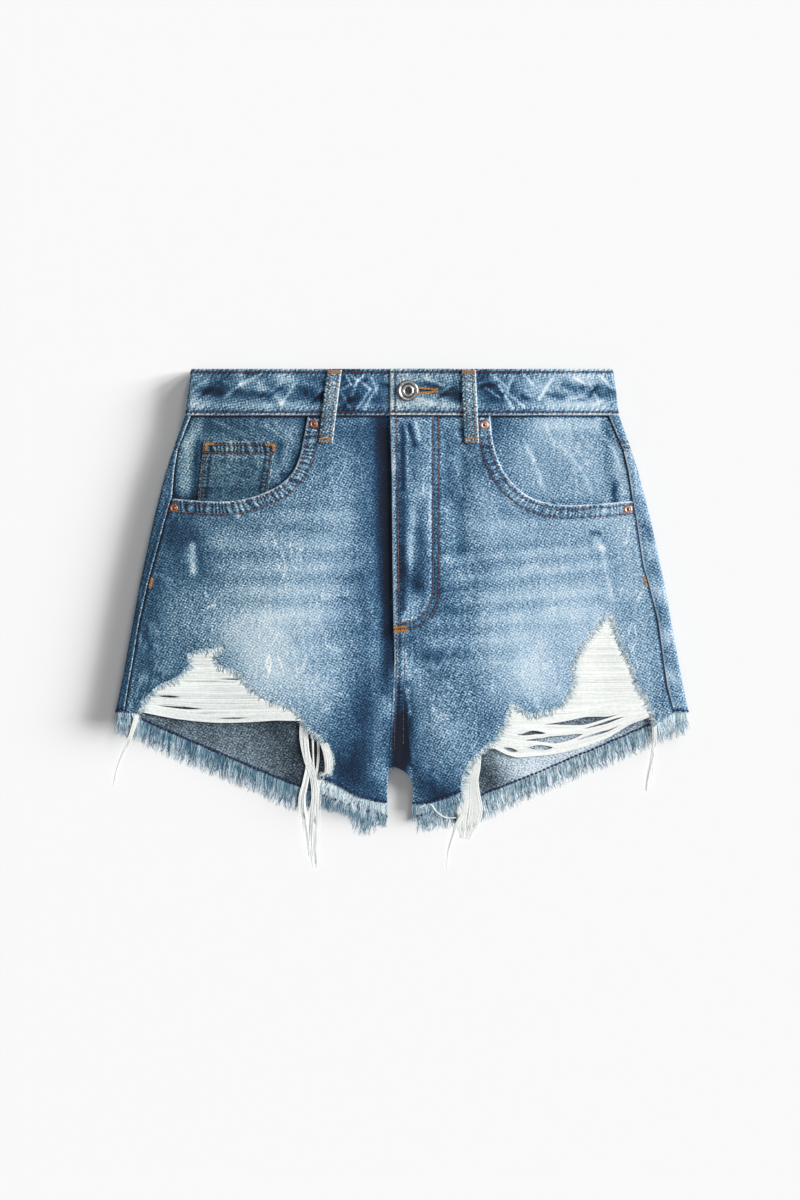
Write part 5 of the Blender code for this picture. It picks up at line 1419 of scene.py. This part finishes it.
def makeFringeTree():
    tree, given, out = makeGroup(
        "fringe", "GeometryNodeTree",
        {"Geometry": "Geometry", "Pitch": 0.0003, "Length": 0.015, "Shortest": 0.6, "Lean": 0.3, "Clump": 0.003,
         "Clump Scale": 160.0, "Curl": 0.001, "Loft": 0.001, "Radius": 0.00017, "Joints": 7, "Palest": 1.0,
         "Darkest": 0.0, "Seed": 0, "Thread": "Material"}, {"Geometry": "Geometry"})
    path = shaped(tree, "MeshToCurve", given["Geometry"])
    dots = outOf(tree, "GeometryNodeCurveToPoints", {"Curve": path, "Length": given["Pitch"]}, mode="LENGTH")
    seed = given["Seed"]
    jitter = joined(tree, **{axis: chanceBetween(tree, low, high, seed, past) for axis, low, high, past in (
        ("X", -0.0006, 0.0006, 11.0), ("Y", -0.0006, 0.0006, 12.0), ("Z", -0.0004, 0.0002, 13.0))})
    dots = shaped(tree, "SetPosition", dots, Offset=jitter)
    strand = outOf(tree, "GeometryNodeCurvePrimitiveLine", {"Start": (0, 0, 0), "End": (1, 0, 0)})
    strand = shaped(tree, "ResampleCurve", strand, Count=given["Joints"])
    strand = store(tree, strand, "along", outOf(tree, "GeometryNodeSplineParameter"))
    outward = attribute(tree, "outward", "FLOAT_VECTOR")
    lean = chanceBetween(tree, times(tree, given["Lean"], -1.0), given["Lean"], seed)
    facing = turned(tree, outward, lean, pivot_axis="Z")
    reach = times(tree, given["Length"], chanceBetween(tree, given["Shortest"], 1.0, seed, 1.0))
    size = joined(tree, X=times(tree, reach, attribute(tree, "long")), Y=1.0, Z=1.0)
    strands = shaped(tree, "InstanceOnPoints", dots, Instance=strand, Rotation=facing, Scale=size)
    for trait, low, high, past in (("shade", given["Darkest"], given["Palest"], 2.0), ("own", 0.0, 50.0, 4.0),
                                   ("loft", 0.0, given["Loft"], 5.0)):
        strands = store(tree, strands, trait, chanceBetween(tree, low, high, seed, past), "INSTANCE")
    strands = shaped(tree, "RealizeInstances", strands)
    along = attribute(tree, "along")
    sideways = vector(tree, "CROSS_PRODUCT", attribute(tree, "outward", "FLOAT_VECTOR"), (0, 0, 1))
    bent = calc(tree, "POWER", along, 1.6)
    at = outOf(tree, "GeometryNodeInputPosition")
    clump = outOf(tree, "ShaderNodeTexNoise", {"Vector": at, "Scale": given["Clump Scale"], "Detail": 0.0})
    clump = times(tree, minus(tree, clump, 0.5), times(tree, bent, given["Clump"]))
    push = vector(tree, "SCALE", sideways, scale=clump)
    curl = vector(tree, "MULTIPLY", wander(tree, 130.0, attribute(tree, "own")), (1.0, 1.0, 0.3))
    curl = vector(tree, "SCALE", curl, scale=times(tree, along, given["Curl"]))
    down = times(tree, calc(tree, "POWER", along, 0.8), attribute(tree, "sink"))
    lift = minus(tree, times(tree, along, attribute(tree, "loft")), down)
    push = vector(tree, "ADD", vector(tree, "ADD", push, curl), joined(tree, Z=lift))
    strands = shaped(tree, "SetPosition", strands, Offset=push)
    thin = minus(tree, 1.0, times(tree, calc(tree, "POWER", along, 3.0), 0.6))
    finished(tree, tube(tree, strands, given["Radius"], 3, thin), given["Thread"], out["Geometry"])
    return tree


trees = {"sewing": makeSewingTree(), "yarn": makeYarnTree(), "fringe": makeFringeTree()}


def grow(name, tree, lines, values, traits=None):
    # Run a node tree on a set of lines and keep the result as a plain mesh. `traits` are values along the lines.
    corners, edges = [], []
    for line in lines:
        edges += [(k, k + 1) for k in range(len(corners), len(corners) + len(line) - 1)]
        corners += [tuple(p) for p in line]
    mesh = bpy.data.meshes.new(name)
    mesh.from_pydata(corners, edges, [])
    for trait, rows in (traits or {}).items():
        giveTrait(mesh, trait, np.concatenate(rows))
    made = newObject(name, mesh)
    step = made.modifiers.new(name, "NODES")
    step.node_group = trees[tree]
    for item in trees[tree].interface.items_tree:
        if item.item_type == "SOCKET" and item.in_out == "INPUT" and item.name in values:
            step[item.identifier] = values[item.name]
    result = bpy.data.meshes.new_from_object(made.evaluated_get(bpy.context.evaluated_depsgraph_get()))
    made.modifiers.clear()
    made.data = result
    result.name = name
    print("  ", name, len(result.polygons), "faces")
    return made


# Sewing: every row lies in the groove that its seam has in the cloth.
sewForm = {
    "stitches": {
        "topstitch": {"Pitch": 0.0027, "Length": 0.0031, "Width": 0.00085, "Height": 0.0006, "Unevenness": 0.07},
        "tack": {"Pitch": 0.0008, "Length": 0.0033, "Width": 0.00062, "Height": 0.0007, "Turn": math.radians(80),
                 "Unevenness": 0.4},
        "buttonhole": {"Pitch": 0.00052, "Length": 0.0023, "Width": 0.0006, "Height": 0.0009,
                       "Turn": math.radians(88), "Unevenness": 0.14},
        "stay": {"Pitch": 0.0036, "Length": 0.003, "Width": 0.0023, "Height": 0.0012, "Unevenness": 0.2}},
    "pieces": {  # stitches, thread, seed, what differs
        "topstitch_front": ("topstitch", "rust", 3, {}),
        "topstitch_back": ("topstitch", "rust", 4, {}),
        "topstitch_band": ("topstitch", "maroon", 5, {"Width": 0.0012, "Height": 0.0009, "Length": 0.0029}),
        "topstitch_crotch": ("topstitch", "plum", 6, {}),
        "topstitch_loops": ("topstitch", "rust", 7, {}),
        "bar_tacks": ("tack", "amber", 21, {}),
        "loop_tacks": ("tack", "amber", 25, {"Length": 0.0015}),
        "yoke_tacks": ("tack", "weft", 24, {"Length": 0.0016}),
        "buttonhole_stitches": ("buttonhole", "amber", 22, {}),
        "stay_stitches": ("stay", "navy", 23, {})},
}
sewn = {name: [] for name in sewForm["pieces"]}


def sew(name, line):
    sewn[name].append(line)


def onFront(side, line, rise=0.1):
    return spots(*line.T, frontSurface(side, *line.T) + rise)


def onBand(along, drop, rise):
    return bandPlace(rise)(np.asarray(along, float), np.asarray(drop, float))


def straight(x0, drop0, x1, drop1, step=2.0):
    return resampled([(x0, drop0), (x1, drop1)], step)


def onFloor(line, z):
    return spots(*line.T, np.full(len(line), z))


def onCoin(line, rise):
    return spots(*line.T, coinHeight(*line.T) + rise)


def sewLoop(xTop, xEnd, laid, rows, tacks, drops):
    # Two rows down a belt loop and short tacks across it.
    end, half = loopForm["end"], 5.0
    for off in (-loopForm["row"], loopForm["row"]):
        sew(rows, laid(straight(xTop + off, 1.5, xEnd + off, end - 1.5), 0.12))
    for drop, rise in drops:
        at = xTop + (xEnd - xTop) * drop / end
        sew(tacks, laid(straight(at - half, drop, at + half, drop, 1.0), rise))


for key, line in flyStitches.items():
    name = "topstitch_crotch" if key.startswith("crotch") else "topstitch_front"
    sew(name, onFront("left", resampled(line, 2.0)))
for side in sign:
    for row in panelForm["mouthRows"]:
        line = mouthLine[side] + normals(mouthLine[side]) * row * sign[side]
        line = np.array([p for p in line if p[1] > 38.4 and abs(p[0]) < abs(seamX(side, p[1])) - 1.0])
        sew("topstitch_front", onFront(side, resampled(line, 2.0)))
for row in facingForm["coinRows"]:
    sew("topstitch_front", onCoin(resampled(coinTop + (0.0, row), 2.0, end=2.0), 0.12))
for line, way in zip(coinSides, (1, -1)):
    line = resampled(line + (facingForm["coinSide"] * way, 0.0), 2.0, end=1.5)
    sew("topstitch_front", onCoin(line, 0.12))
for row in bandForm["rows"]:
    along = np.arange(2.0, bandMarks[5] - 26.0, 2.0)
    sew("topstitch_band", onBand(along, np.full(len(along), row), 0.1))
sew("topstitch_band", onBand(*straight(bandForm["endRow"], 3.5, bandForm["endRow"], 33.5).T, 0.1))
for xTop, xEnd in loopForm["front"].values():
    sewLoop(xTop, xEnd, lambda line, rise: loopPlace(xTop, xEnd, rise)(*line.T), "topstitch_loops", "loop_tacks",
            [(drop, 0.22) for drop in (1.4, 2.6, loopForm["end"] - 4.0, loopForm["end"] - 1.5)])
for x in backLoops.values():
    sewLoop(x, x, onFloor, "topstitch_back", "bar_tacks", [(drop, 0.1) for drop in (2.0, loopForm["end"] - 2.2)])
for side in sign:
    for line in backStitches[side]["rows"]:
        sew("topstitch_back", backPlace(side, 0.02)(*resampled(line, 1.5, end=1.0).T))
    loop = pocketEdge[side] if signedArea(pocketEdge[side]) > 0 else pocketEdge[side][::-1]
    for row in pocketForm["rows"]:  # mitred at the pocket's corners
        before, after = loop - np.roll(loop, 1, axis=0), np.roll(loop, -1, axis=0) - loop
        a, b = (way / np.linalg.norm(way, axis=1, keepdims=True) for way in (before, after))
        across = np.column_stack((-(a + b)[:, 1], (a + b)[:, 0])) / (1 + np.sum(a * b, axis=1, keepdims=True))
        sew("topstitch_back", onFloor(resampled(loop + across * row, 2.0, closed=True), 0.12))

for corner, way in ((coinTop[1], 1), (coinTop[0], -1)):
    for x0, x1, fall in ((1.5, 8.5, 2.8), (2.2, 2.0, 8.0)):
        line = straight(corner[0] + x0 * way, corner[1] + 2.8, corner[0] + x1 * way, corner[1] + fall, 1.0)
        sew("bar_tacks", onCoin(line, 0.3))
for drop in (211.6, 214.6):
    sew("bar_tacks", onFront("left", straight(-6.4, drop, 4.0, drop - 0.6, 1.0), 0.3))
for side, middle in (("right", 175.0), ("left", 174.0)):
    ends = [(float(seamX(side, drop)) - 2.2 * sign[side], drop) for drop in (middle - 4, middle + 4)]
    sew("bar_tacks", onFront(side, straight(*ends[0], *ends[1], 1.0), 0.25))
slitEnd = bandForm["slitEnd"] + 1.4
for name, line, rise in (("buttonhole_stitches", resampled(keyhole(1.0), 1.0), 0.0),
                         ("bar_tacks", straight(slitEnd, 15.6, slitEnd, 19.4, 1.0), 0.1)):
    sew(name, onBand(*(line - (bandForm["lapEnd"], 0)).T, rise))
for drop in (62.0, 68.6):
    seam = float(unrolledSeam("left", drop))
    sew("yoke_tacks", backPlace("left", 0.7)(*straight(seam - 7.5, drop - 0.6, seam - 0.4, drop, 1.0).T))

flatEnd = halfWidth(281.0) - foldRadius
for side in sign:
    hem = backStitches[side]["hem"]
    flat = resampled(hem[hem[:, 0] < flatEnd - 1], 1.5, end=1.0)
    sew("stay_stitches", backPlace(side, -1.5)(*flat.T))
    wrapped = resampled(hem[hem[:, 0] > flatEnd + 1], 1.0, end=0.4)
    sew("stay_stitches", backPlace(side, 0.1)(*wrapped.T))
    line = curveThrough(frontHemPoints(side), 2.0)
    way = normals(line)
    line += way * 1.6 * (-1 if np.mean(way[:, 1]) > 0 else 1)
    sew("stay_stitches", onFront(side, resampled(line, 2.0, end=1.0)))

sewing = []
for name, (kind, thread, seed, more) in sewForm["pieces"].items():
    values = {**sewForm["stitches"][kind], **more, "Seed": seed, "Thread": finish[thread]}
    sewing.append(grow(name, "sewing", sewn[name], values))
print("sewing done")

# Rips: single weft yarns left across them, pushed apart where they have parted.
webForm = {
    "pitch": 0.40, "under": 2.6, "depth": 0.4, "sag": 1.1, "hidden": 1.15, "lowest": 2.4,
    "rows": {"right": (222.5, 262), "left": (199.5, 268)},  # first yarn, and where they start to follow the lowest
    "hem": {
        "right": (
            (-81, 288), (-103.7, 287.6), (-123.8, 289), (-137, 289.6), (-153.9, 289.6), (-170, 288.4),
            (-186, 286.4), (-200, 283.6), (-213, 280.8)),
        "left": (
            (75.4, 310.5), (85.7, 315.8), (95.9, 318.2), (115.9, 316.6), (132, 314.2), (149.2, 309.5), (168.9, 302),
            (187, 290.8), (205, 284))},
    "gaps": {
        "right": (
            (-200, 266.6, -182, 269, -0.6, 1.3, 5), (-202, 273.6, -154, 284.6, 1.6, 1.7, 5),
            (-152, 285.6, -125, 286.6, 0.4, 0.9, 3), (-150, 253, -128, 255, 0.4, 0.7, 4)),
        "left": (
            (110.5, 301, 190.5, 268.6, -3.2, 4.6, 10), (101, 300.2, 148.5, 298.9, -4.2, 4.4, 8),
            (103, 308.2, 124, 310.2, -0.8, 3.2, 6), (94, 296.4, 118, 298.6, -0.4, 2.6, 6),
            (146.4, 296.4, 190.2, 276.6, -2.6, 1.8, 5), (143, 303.6, 182, 288, -2.2, 1.5, 4),
            (83, 308.2, 95, 314, -0.6, 2.6, 5))},
    "yarn": {"Radius": 0.0004, "Sides": 4, "Wobble": 0.0005, "Wobble Scale": 45.0},
    "shade": {"right": {"Darkest": 0.05, "Palest": 0.95}, "left": {"Darkest": 0.4, "Palest": 1.1}},
}


def webYarns(side):
    # Yarns follow the upper part of the rip, then turn with its lowest yarn, and bow away from each gap.
    chance = np.random.default_rng(seeds["weftWays"] + (side == "left"))
    hem = sorted(webForm["hem"][side])
    rip = np.array(cut["rip"][side])
    first, follow = webForm["rows"][side]
    low = max(d for _, d in hem)
    lines, step = [], 0.5
    x = np.arange(rip[:, 0].min() - 4, rip[:, 0].max() + 4, step)
    for k, start in enumerate(np.arange(first, low + 0.01, webForm["pitch"])):
        share = min(max((start - follow) / (low - follow), 0), 1)
        drop = start + share ** 1.3 * (lookUp(hem, x) - low) + chance.normal(0, 0.07)
        drop += 0.35 * np.sin(x / 17.0 + start * 0.7) * (1 - share)
        for x0, d0, x1, d1, rise, width, reach in webForm["gaps"][side]:
            t = np.clip((x - x0) / (x1 - x0), 0, 1)
            bow = np.sin(math.pi * t)
            off = drop - (d0 + (d1 - d0) * t - rise * bow)
            way = 1 if np.interp((x0 + x1) / 2, x, off) >= 0 else -1
            drop += way * bow ** 0.6 * width * 0.75 * np.maximum(1 - np.abs(off) / reach, 0)
        within = insideOf(x, drop, [rip])
        ends = np.flatnonzero(np.diff(np.concatenate(([0], within.astype(int), [0]))))
        for a, b in zip(ends[::2], ends[1::2]):
            if x[b - 1] - x[a] < 1.5:
                continue
            spare = int(webForm["under"] / step)
            a, b = max(a - spare, 0), min(b + spare, len(x))
            line = resampled(np.column_stack((x[a:b], drop[a:b])), 3.4)
            inner = np.minimum(line[:, 0] - line[0, 0], line[-1, 0] - line[:, 0]) - webForm["under"]
            full = max(float(inner.max()), 1.0)
            z = frontHeight(*line.T) - webForm["hidden"]
            z += (webForm["hidden"] - webForm["depth"]) * ramp(inner, -0.4, min(2.4, full))
            z -= webForm["sag"] * ease(np.clip(inner / full, 0, 1)) * min(full / 40.0, 1.0)
            z = z - 0.1 * (k % 2) + chance.normal(0, 0.03)
            lines.append(spots(*line.T, np.maximum(z, webForm["lowest"])))
    return lines


fray = {}
for k, side in enumerate(sign):
    lines = webYarns(side)
    values = {**webForm["yarn"], **webForm["shade"][side], "Seed": seeds["weftYarns"] + k, "Thread": finish["weft"]}
    fray["thread_web_" + side] = grow("weftWeb" + side.capitalize(), "yarn", lines, values,
                                      {"along": [np.zeros(len(line)) for line in lines]})
print("weft yarns laid")

# Torn yarns that hang from the ends of the rips, drawn together into ropes. Each rope: yarns in it,
# then its way as rows of x, drop and half width.
bundleForm = {
    "yarn": {"Radius": 0.00038, "Sides": 4, "Taper": 0.5, "Wobble": 0.0011, "Wobble Scale": 40.0,
             "Darkest": 0.7, "Palest": 1.15},
    "rootZ": 4.3,
    "ropes": {
        "inner_right": (
            (26, (
                (-81.4, 286, 2), (-80.8, 303.7, 2.9), (-77.1, 321.8, 2.4), (-72.6, 333.2, 3), (-70.9, 348.8, 3.2),
                (-72.2, 369.3, 4.2), (-73, 389.8, 4), (-71.3, 412, 2.4))),
            (20, (
                (-78.7, 292.5, 1.4), (-77.9, 310.3, 1.5), (-76.3, 324.2, 1.8), (-78.7, 338.2, 2),
                (-81.6, 352.9, 2.5), (-80.2, 369.3, 2.8), (-77.7, 387.4, 2.9), (-76.3, 402, 1.6))),
            (4, (
                (-73.4, 298, 0.6), (-73, 311.9, 0.5), (-72.6, 324.2, 0.5), (-71.3, 333.2, 0.6), (-70.1, 344.7, 0.8),
                (-69.7, 361, 0.6))),
            (8, (
                (-68.9, 302, 1), (-68.5, 313.6, 1.1), (-69.3, 324.2, 1), (-70.9, 334, 1.1), (-73, 348.8, 1),
                (-74.6, 365.2, 0.6))),
            (28, (
                (-65.6, 303, 2.4), (-61.4, 314, 2.9), (-60, 325, 2.9), (-62, 331.6, 1.9), (-66.4, 334.5, 1.6),
                (-69.3, 341.5, 1.5), (-70.3, 356, 1.2), (-71.5, 376, 1)), 3.4)),
        "inner_left": (
            (100, (
                (61.9, 316.5, 2.4), (59.5, 326.7, 3.8), (56.2, 336.5, 5.4), (55.8, 348.8, 7.2), (55.8, 359.5, 9.2),
                (54.1, 371, 8.6), (52.1, 381.6, 5.4), (51, 388, 3))),
            (4, (
                (49.2, 365.2, 1.3), (44.3, 374.2, 1), (42.2, 380.8, 0.3), (38.5, 393.9, 0.25), (37.3, 403.8, 0.2),
                (36.9, 412, 0.2)))),
        "outer_right": (
            (10, (
                (-216.9, 281, 1.7), (-220.2, 293.9, 1.5), (-223.9, 304.6, 1.2), (-228.4, 313.6, 0.8),
                (-232.9, 324.2, 0.5), (-235.8, 334.9, 0.4), (-237.8, 344.7, 0.25))),),
        "outer_left": (
            (12, (
                (204.6, 280.4, 1.1), (206.6, 289, 1.8), (207.5, 299.6, 2), (206.6, 312, 1.8), (204.2, 324.2, 1.5),
                (201.7, 335, 1.1), (200, 349, 0.6))),
            (4, ((205.4, 281, 0.6), (207.6, 300, 0.8), (205.6, 318, 0.8), (205, 334, 0.5), (203.4, 346, 0.3)))),
    },
    "own": {"inner_right": {"Darkest": 0.4, "Palest": 1.0},
            "inner_left": {"Darkest": 0.55, "Palest": 0.8, "Wobble": 0.0006, "Radius": 0.0006}},
    "loose": {"inner_left": 0.3},
    "curled": ((14.5, 359.4), (18.9, 356.9), (23.4, 356.4), (28.2, 362.6), (35.6, 367.4), (44.3, 367.5)),
}


def restHeight(x, drop):
    # Hanging yarns lie on the floor, or on the back's hem where that shows.
    pastHem = drop - lookUp(cut["backHem"], np.abs(x))
    return np.where((np.abs(x) > halfWidth(drop)) | (pastHem > 18.0), 0.0, cut["denim"] + 0.25)


def torn(name, chance):
    lines, along = [], []
    for count, rows, *lift in bundleForm["ropes"][name]:
        middle = curveThrough(rows, 3.2)
        across = normals(middle[:, :2])
        for k in range(count):
            spread = (k + 0.5) / count * 2 - 1 + chance.normal(0, 0.12)
            last = max(4, int(len(middle) * (1 - 0.4 * chance.random() ** 2.5)))
            line = middle[:last, :2] + across[:last] * (middle[:last, 2:] * spread) + chance.normal(0, 0.12, 2)
            sink = ramp(line[:, 1], line[0, 1], line[0, 1] + 34)
            rest = restHeight(line[:, 0], line[:, 1] - 3.5) + 0.42
            rest += bundleForm["loose"].get(name, 0.9) * chance.random()
            z = bundleForm["rootZ"] * (1 - sink) + rest * sink
            if lift:  # bows up over the edge of the rip
                past = line[:, 1] - line[0, 1]
                z += lift[0] * ramp(past, 0, 8) * ramp(past, 34, 22)
            lines.append(spots(*line.T, z))
            along.append(np.linspace(0, 1, last))
    return lines, along


for k, name in enumerate(bundleForm["ropes"]):
    lines, along = torn(name, np.random.default_rng(seeds["tornWays"] + k))
    if name == "inner_left":
        curled = curveThrough(bundleForm["curled"], 2.0)
        lines.append(onFloor(curled, 3.1))
        along.append(np.zeros(len(curled)))
    values = {**bundleForm["yarn"], **bundleForm["own"].get(name, {}), "Seed": seeds["tornYarns"] + k,
              "Thread": finish["weft"]}
    fray["threads_" + name] = grow("tornYarns_" + name, "yarn", lines, values, {"along": along})
print("torn yarns hung")

# Fray: loose warp ends along every hem, and a short fuzz round the rips.
frayForm = {
    "back": {"Pitch": 0.00017, "Length": 0.0188, "Shortest": 0.66, "Lean": 0.2, "Clump": 0.0075, "Clump Scale": 230.0,
             "Curl": 0.0011, "Loft": 0.0008, "Radius": 0.00022, "Joints": 7},
    "front": {"Pitch": 0.00018, "Length": 0.0162, "Shortest": 0.55, "Lean": 0.32, "Clump": 0.008, "Clump Scale": 230.0,
              "Curl": 0.0018, "Loft": 0.0008, "Radius": 0.00023, "Joints": 7},
    "fuzz": {"Pitch": 0.00026, "Length": 0.0068, "Shortest": 0.35, "Lean": 0.75, "Clump": 0.003, "Clump Scale": 420.0,
             "Curl": 0.0016, "Loft": 0.0005, "Radius": 0.00024, "Joints": 5},
    "backLong": (
        (-230, 1), (-200, 1.12), (-112, 1.12), (-92, 1.25), (-78, 1.15), (-72, 0.8), (-54, 0.55), (-41, 0.6),
        (-35, 1.2), (-25, 1.15), (-20, 0.6), (-12, 0.5), (22, 0.8), (40, 1), (66, 1.18), (84, 1.15), (96, 1)),
    "hang": 0.6,  # how far the hem's ends hang straight down, against square to the hem
    "shade": {"back": {"right": (-0.32, 0.82), "left": (-0.16, 0.95)},
              "front": {"right": (0.42, 1.45), "left": (-0.1, 0.9)}, "side": {"right": (0.1, 1.2), "left": (0.3, 1.3)},
              "fuzz": {"right": (0.2, 1.25), "left": (0.3, 1.45)}},
}


def hemRow(points, heights, rest, longAt=((0, 1.0),)):
    # A hem as a line of roots with the way that its ends point, how far they come down and how long they are.
    line = resampled(points, 2.0, end=0.6)
    way = normals(line)
    if np.mean(way[:, 1]) < 0:
        way = -way
    z = heights(*line.T)
    hang = frayForm["hang"]
    outward = np.column_stack((way[:, 0] * (1 - hang), -way[:, 1] * (1 - hang) - hang, np.zeros(len(way))))
    return spots(*(line - way * 0.6).T, z), outward, (z - rest) * mm, lookUp(longAt, line[:, 0])


def fringeOf(name, row, form, side, shade=None):
    roots, *traits = row
    darkest, palest = frayForm["shade"][shade or form][side]
    values = {**frayForm[form], "Darkest": darkest, "Palest": palest, "Seed": seeds[name] + (side == "left"),
              "Thread": finish["fray"]}
    return grow(name + side.capitalize(), "fringe", [roots], values,
                {key: [trait] for key, trait in zip(("outward", "sink", "long"), traits)})


def frontRest(x, drop):
    return frontHeight(x, drop) - 0.7


fuzz = {}
for side, way in sign.items():
    back = np.array([(way * x, float(backHem(x))) for x in np.append(np.arange(12, 233, 3.0), 233.5)])
    row = hemRow(back, lambda x, drop: np.full(len(x), 0.75), 0.3, frayForm["backLong"])
    fray["fringe_back_" + side] = fringeOf("frayBack", row, "back", side)
    row = hemRow(curveThrough(frontHemPoints(side), 3), frontRest, 1.5)
    fray["fringe_front_inner_" + side] = fringeOf("frayInner", row, "front", side)
    outer = np.array([cut["rip"][side][0], (float(seamX(side, cut["sideHem"])), cut["sideHem"]),
                      (way * cut["hemFoldX"], cut["sideHem"])])
    row = hemRow(outer, frontRest, 1.5)
    fray["fringe_front_side_" + side] = fringeOf("fraySide", row, "front", side, "side")
    line = ripLine[side]
    way = normals(line)
    way = np.where(insideOf(*(line + way * 1.5).T, [line])[:, None], way, -way)
    z = frontSurface(side, *line.T) + 0.5
    outward = np.column_stack((way[:, 0], -way[:, 1], np.zeros(len(way))))
    row = spots(*(line - way * 1.2).T, z), outward, np.full(len(line), 0.0005), np.ones(len(line))
    fuzz[side] = fringeOf("ripFuzz", row, "fuzz", side)
print("hems frayed")


# Studio: floor, sky, a key light, a row of low lamps for the floor's shadow, a lamp from below and the camera.
studio = {
    "seen": (-1.6, 188.9), "frameLong": 984.0, "cameraHeight": 3000.0,  # mm: middle of the view, its long side
    "floor": fromScreen(205, 205, 205), "skyStrength": 0.36, "skySeen": 0.93,
    "key": {"strength": 4.1, "height": 34, "turn": 14, "width": 30},  # degrees over the floor and round from +x
    "low": {"strength": 3.74, "width": 11.0},  # lamps in a row cast the long soft shadow on the floor
    "lowPlaces": ((13, 8.2, 0.33), (26, 8.4, 0.34), (42, 9, 0.19), (72, 13, 0.14)),  # turn, height and share of each
    "under": {"strength": 2.4, "height": -55, "turn": 200, "width": 40},  # for a look at the garment's back
}


def addSun(name, strength, height, turn, width):
    lamp = bpy.data.lights.new(name, "SUN")
    lamp.energy = strength
    lamp.angle = math.radians(width)
    made = newObject(name, lamp)
    a, e = math.radians(turn), math.radians(height)
    away = Vector((math.cos(a) * math.cos(e), math.sin(a) * math.cos(e), math.sin(e)))
    made.rotation_mode = "QUATERNION"
    made.rotation_quaternion = away.to_track_quat("Z", "Y")
    return made


def linked(name, pieces, state):
    group = bpy.data.collections.new(name)
    for piece in pieces:
        group.objects.link(piece)
    for entry in group.collection_objects:
        entry.light_linking.link_state = state
    return group


def lightOnly(lamp, piece, state):
    # The lamp falls on this piece alone, or on everything but it.
    lamp.light_linking.receiver_collection = linked(lamp.name + " reach", [piece], state)
    return lamp


def makeFloor():
    bpy.ops.mesh.primitive_plane_add(size=8.0, location=(0, 0, -0.0005))
    floor = bpy.context.object
    floor.name = "floor"
    made, tree, shader = newMaterial("pale floor", Base_Color=(*studio["floor"], 1), Roughness=0.9,
                                     Specular_IOR_Level=0.1)
    # from below the floor is clear, so the garment's back can be seen and lit
    clear = addNode(tree, "ShaderNodeBsdfTransparent")
    below = addNode(tree, "ShaderNodeNewGeometry").outputs["Backfacing"]
    mix = addNode(tree, "ShaderNodeMixShader", {0: below, 1: shader.outputs[0], 2: clear.outputs[0]})
    link(tree, mix.outputs[0], tree.nodes["Material Output"].inputs["Surface"])
    floor.data.materials.append(made)
    floor.visible_shadow = False
    floor.visible_diffuse = False
    return floor


def makeSky():
    # Even light for the cloth, and a pale backdrop for the camera.
    made = bpy.data.worlds.new("soft sky")
    made.use_nodes = True
    tree = made.node_tree
    seen = addNode(tree, "ShaderNodeLightPath").outputs["Is Camera Ray"]
    strength = times(tree, seen, studio["skySeen"] - studio["skyStrength"], studio["skyStrength"])
    tree.nodes["Background"].inputs["Color"].default_value = (1, 1, 1, 1)
    link(tree, strength, tree.nodes["Background"].inputs["Strength"])
    return made


floor = makeFloor()
scene = bpy.context.scene
scene.world = makeSky()
ends = [piece for node, piece in fray.items() if node.startswith("fringe")]
keyLight = lightOnly(addSun("key light", **studio["key"]), floor, "EXCLUDE")
keyLight.light_linking.blocker_collection = linked("shadowless fringe", ends, "EXCLUDE")
looseYarns = [piece for node, piece in fray.items() if node.startswith("threads")]
for turn, height, share in studio["lowPlaces"]:
    strength = studio["low"]["strength"] * share / math.sin(math.radians(height))
    lowLight = addSun(f"low light {turn}", strength, height, turn, studio["low"]["width"])
    lowLight = lightOnly(lowLight, floor, "INCLUDE")
    # thin yarns leave no long shadow
    lowLight.light_linking.blocker_collection = linked(f"shadowless {turn}", looseYarns + ends, "EXCLUDE")
lightOnly(addSun("under light", **studio["under"]), floor, "EXCLUDE")
scene.view_settings.view_transform = "Standard"

lens = bpy.data.cameras.new("camera")
lens.sensor_width = 36.0
lens.lens = 36.0 * (studio["cameraHeight"] - 5.0) / studio["frameLong"]
lens.clip_end = 100.0
camera = newObject("camera", lens)
camera.location = Vector(spots(*studio["seen"], studio["cameraHeight"])[0])
scene.camera = camera


# Put the pieces on the frame.
for node, piece in {**panels, **metal, **fray}.items():
    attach(piece, "root")
    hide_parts(node)
for piece in sewing:
    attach(piece, "root")
for piece in fuzz.values():
    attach(piece, "root")

edging = {"front_panel_": ("thread_web_", "threads_inner_", "threads_outer_", "fringe_front_inner_"),
          "back_panel_": ("fringe_back_", "fringe_front_side_")}
for node, piece in panels.items():
    more = []
    for start, ends in edging.items():
        for side in sign:
            if node == start + side:
                more = [fray[end + side] for end in ends] + ([fuzz[side]] if start == "front_panel_" else [])
